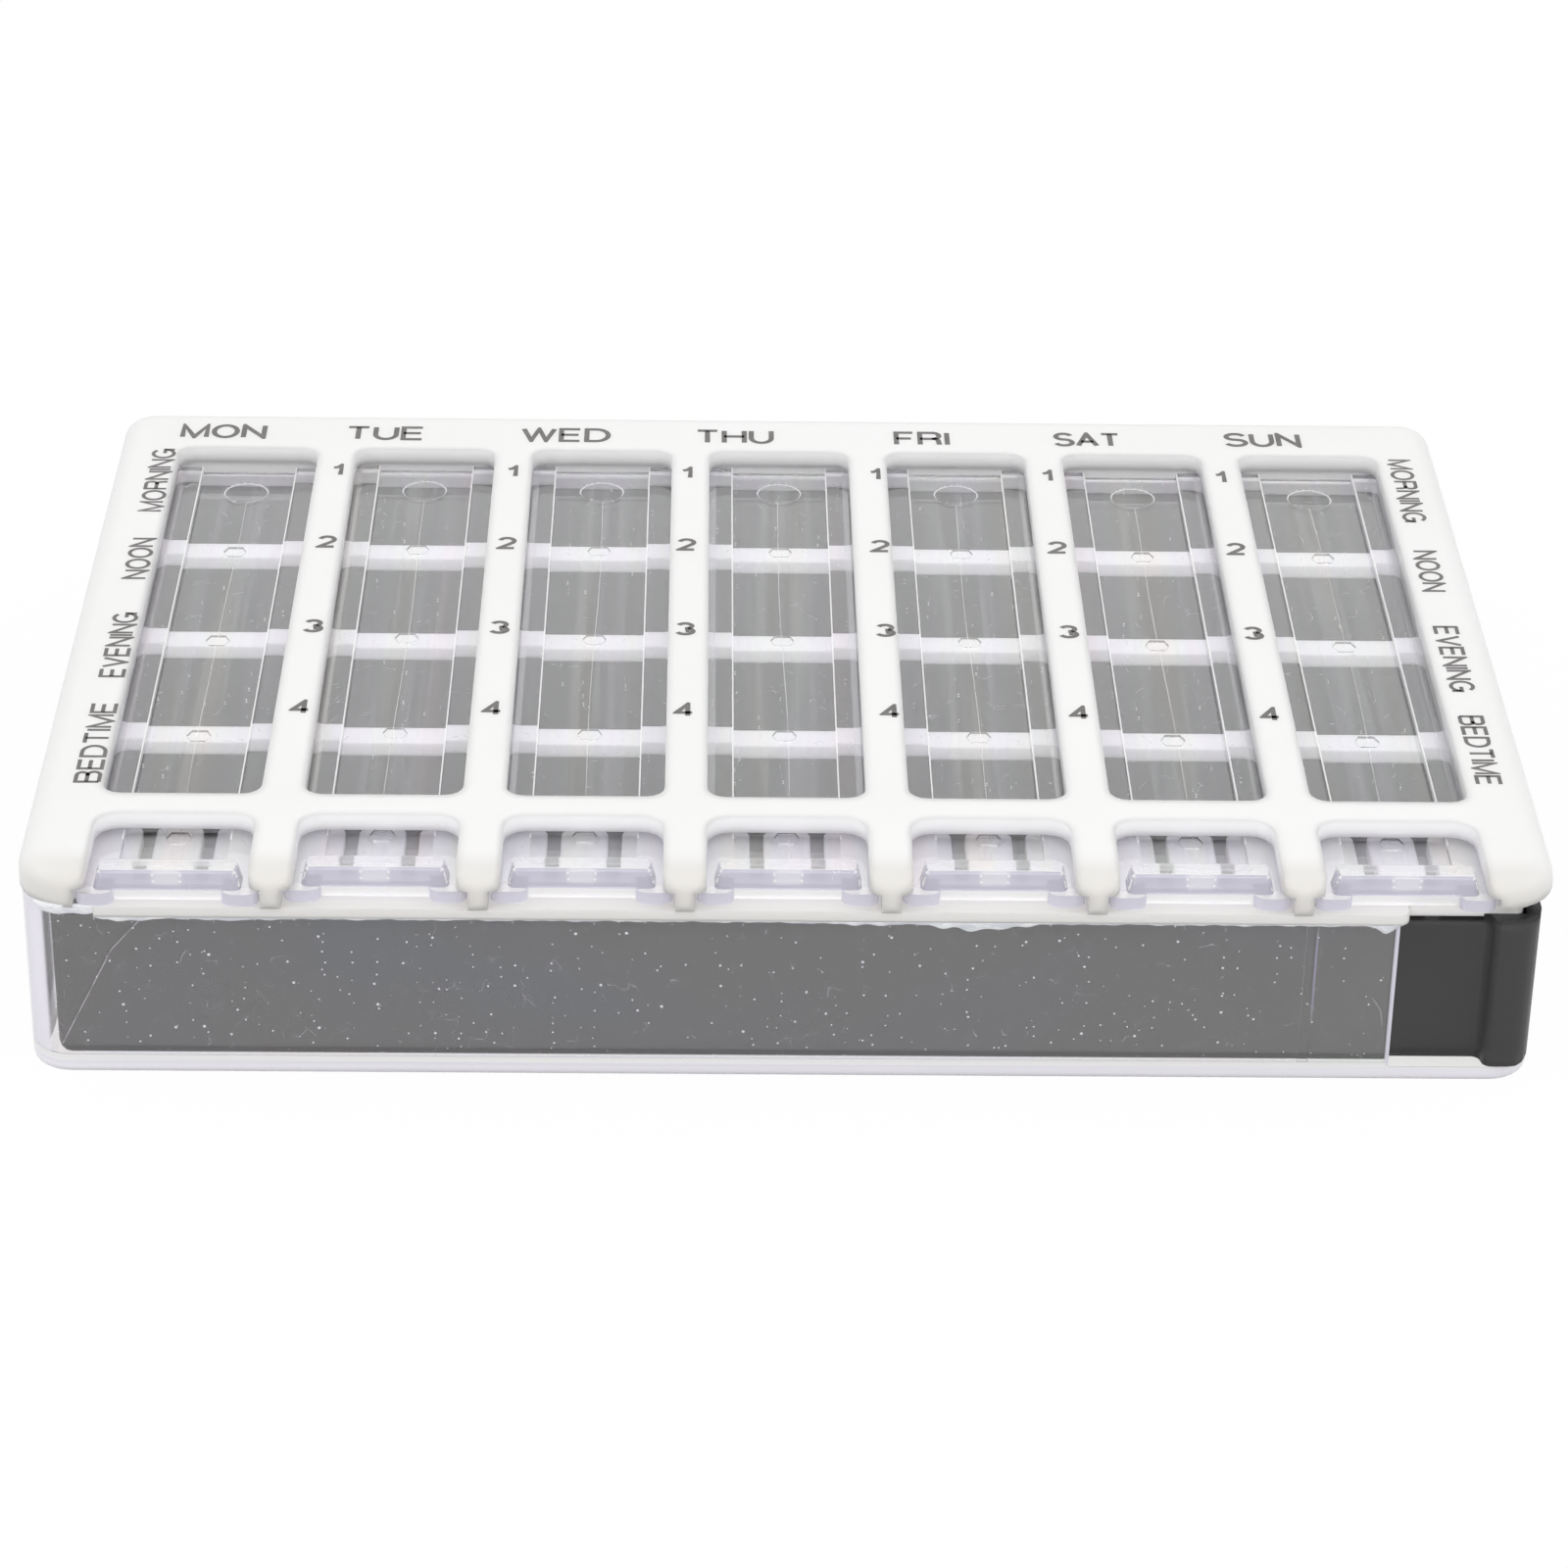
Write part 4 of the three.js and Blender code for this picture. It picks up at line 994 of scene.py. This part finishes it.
def wall_face(x):
    """The outer face of the sleeve's front wall, with its round left corner, in millimetres."""
    reach = max(0, sleeve_low.x / MM + SLEEVE_CORNER_RADIUS - x)
    return sleeve_low.y / MM + SLEEVE_CORNER_RADIUS - math.sqrt(SLEEVE_CORNER_RADIUS ** 2 - reach ** 2)


def make_bead(name, first, last, top, height_at):
    """A wavy ridge that hangs down from a height on the sleeve's front wall."""
    count = int((last - first) / BEAD_STEP)
    points, faces = [], []
    ring = BEAD_ARC_POINTS + 2
    for i in range(count + 1):
        x = first + (last - first) * i / count
        height = height_at(x) * min(1, (i + 1) / BEAD_TAPER_STEPS, (count + 1 - i) / BEAD_TAPER_STEPS)
        wall_y = wall_face(x)
        section = [(wall_y + BEAD_SINK, top)]
        for k in range(BEAD_ARC_POINTS):
            angle = k / (BEAD_ARC_POINTS - 1) * math.pi / 2
            section.append((wall_y - BEAD_PROUD * math.cos(angle), top - height * math.sin(angle)))
        section.append((wall_y + BEAD_SINK, top - height))
        points += [(x * MM, y * MM, z * MM) for y, z in section]
        if i:
            for k in range(ring):
                a, b = (i - 1) * ring + k, (i - 1) * ring + (k + 1) % ring
                faces.append((a, b, b + ring, a + ring))
    faces.append(tuple(range(ring)))
    faces.append(tuple(reversed(range(count * ring, (count + 1) * ring))))
    mesh = bpy.data.meshes.new(name)
    mesh.from_pydata(points, [], faces)
    mesh.polygons.foreach_set("use_smooth", [True] * len(mesh.polygons))
    mesh.materials.append(glue)
    bead = bpy.data.objects.new(name, mesh)
    bpy.context.scene.collection.objects.link(bead)
    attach(bead, "housing")


def deck_lip_ends():
    """Where the deck's front lip starts and ends, in millimetres."""
    corners = [vertex.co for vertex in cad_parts["deck"].data.vertices]
    lip = [corner.x / MM for corner in corners if corner.y < sleeve_low.y]
    return min(lip), max(lip)


lip_left, lip_right = deck_lip_ends()
deck_top = deck_high.z / MM
make_bead("glue_bead", lip_left, lip_right, deck_top - BEAD_DROP, bead_height)
make_bead("glue_corner", CORNER_BEAD_LEFT, lip_left + CORNER_BEAD_OVERLAP, deck_top + CORNER_BEAD_RISE,
          corner_bead_height)


# The floor, the world and the lamps
FLOOR_DROP = 0.02 * MM
FLOOR_SIZE = 6
FLOOR_TONE = 0.5
FLOOR_ROUGHNESS = 0.9
FLOOR_GLOW_SHARE = 0.93
FLOOR_GLOW_STRENGTH = 1.04
WORLD_LIGHT = 0.71


def seen_directly(nodes, links):
    """1 for rays that come from the camera, a reflection or through clear plastic, 0 for rays that light."""
    path = nodes.new("ShaderNodeLightPath")
    seen = path.outputs["Is Camera Ray"]
    for ray in ("Is Glossy Ray", "Is Transmission Ray"):
        either = nodes.new("ShaderNodeMath")
        either.operation = "MAXIMUM"
        links.new(seen, either.inputs[0])
        links.new(path.outputs[ray], either.inputs[1])
        seen = either.outputs[0]
    return seen


def make_floor():
    """A floor that lights the part as a grey sheet does and shows as an even white."""
    graph = Graph("floor")
    graph.set(Base_Color=grey(FLOOR_TONE), Roughness=FLOOR_ROUGHNESS, Specular_IOR_Level=0.0)
    glow = graph.node("ShaderNodeEmission", {"Strength": FLOOR_GLOW_STRENGTH})
    share = graph.math("MULTIPLY", seen_directly(graph.nodes, graph.links), FLOOR_GLOW_SHARE)
    mix = graph.node("ShaderNodeMixShader", {
        "Fac": share, 1: graph.shader.outputs["BSDF"], 2: glow.outputs["Emission"],
    })
    graph.links.new(mix.outputs["Shader"], graph.nodes["Material Output"].inputs["Surface"])
    half = FLOOR_SIZE / 2
    mesh = bpy.data.meshes.new("floor")
    corners = [(x, y, -FLOOR_DROP) for x, y in ((-half, -half), (half, -half), (half, half), (-half, half))]
    mesh.from_pydata(corners, [], [(0, 1, 2, 3)])
    mesh.materials.append(graph.material)
    floor = bpy.data.objects.new("floor", mesh)
    bpy.context.scene.collection.objects.link(floor)


def make_world():
    """A world that shows as white and lights a little less."""
    world = bpy.data.worlds.new("world")
    bpy.context.scene.world = world
    world.use_nodes = True
    nodes, links = world.node_tree.nodes, world.node_tree.links
    background = nodes["Background"]
    background.inputs["Color"].default_value = grey(1)
    strength = nodes.new("ShaderNodeMapRange")
    strength.inputs["To Min"].default_value = WORLD_LIGHT
    strength.inputs["To Max"].default_value = 1
    links.new(seen_directly(nodes, links), strength.inputs["Value"])
    links.new(strength.outputs["Result"], background.inputs["Strength"])


# Lamps: azimuth from the front towards the right, elevation, distance, size, and the light that each gives to
# a face turned to it, as a share of what makes white
LAMPS = {
    "front_lamp": (0, 30, 1.6, (1.4, 0.8), 0.255),
    "left_lamp": (-75, 32, 1.6, (0.9, 0.9), 0.16),
    "right_lamp": (75, 32, 1.6, (0.9, 0.9), 0.16),
    "back_lamp": (180, 28, 2.4, (1.1, 0.6), 0.026),
}


def make_lamp(name, azimuth, elevation, distance, size, share):
    """An area lamp that faces the part."""
    up = math.radians(elevation)
    towards = Vector((0, -math.cos(up), math.sin(up)))
    place = distance * (Matrix.Rotation(math.radians(azimuth), 3, "Z") @ towards)
    data = bpy.data.lights.new(name, "AREA")
    data.shape = "RECTANGLE"
    data.size, data.size_y = size
    data.energy = share * (math.pi * distance) ** 2
    lamp = bpy.data.objects.new(name, data)
    bpy.context.scene.collection.objects.link(lamp)
    lamp.location = place
    lamp.rotation_euler = (-place).to_track_quat("-Z", "Y").to_euler()


make_floor()
make_world()
for name, settings in LAMPS.items():
    make_lamp(name, *settings)

bpy.context.scene.view_settings.view_transform = "Standard"
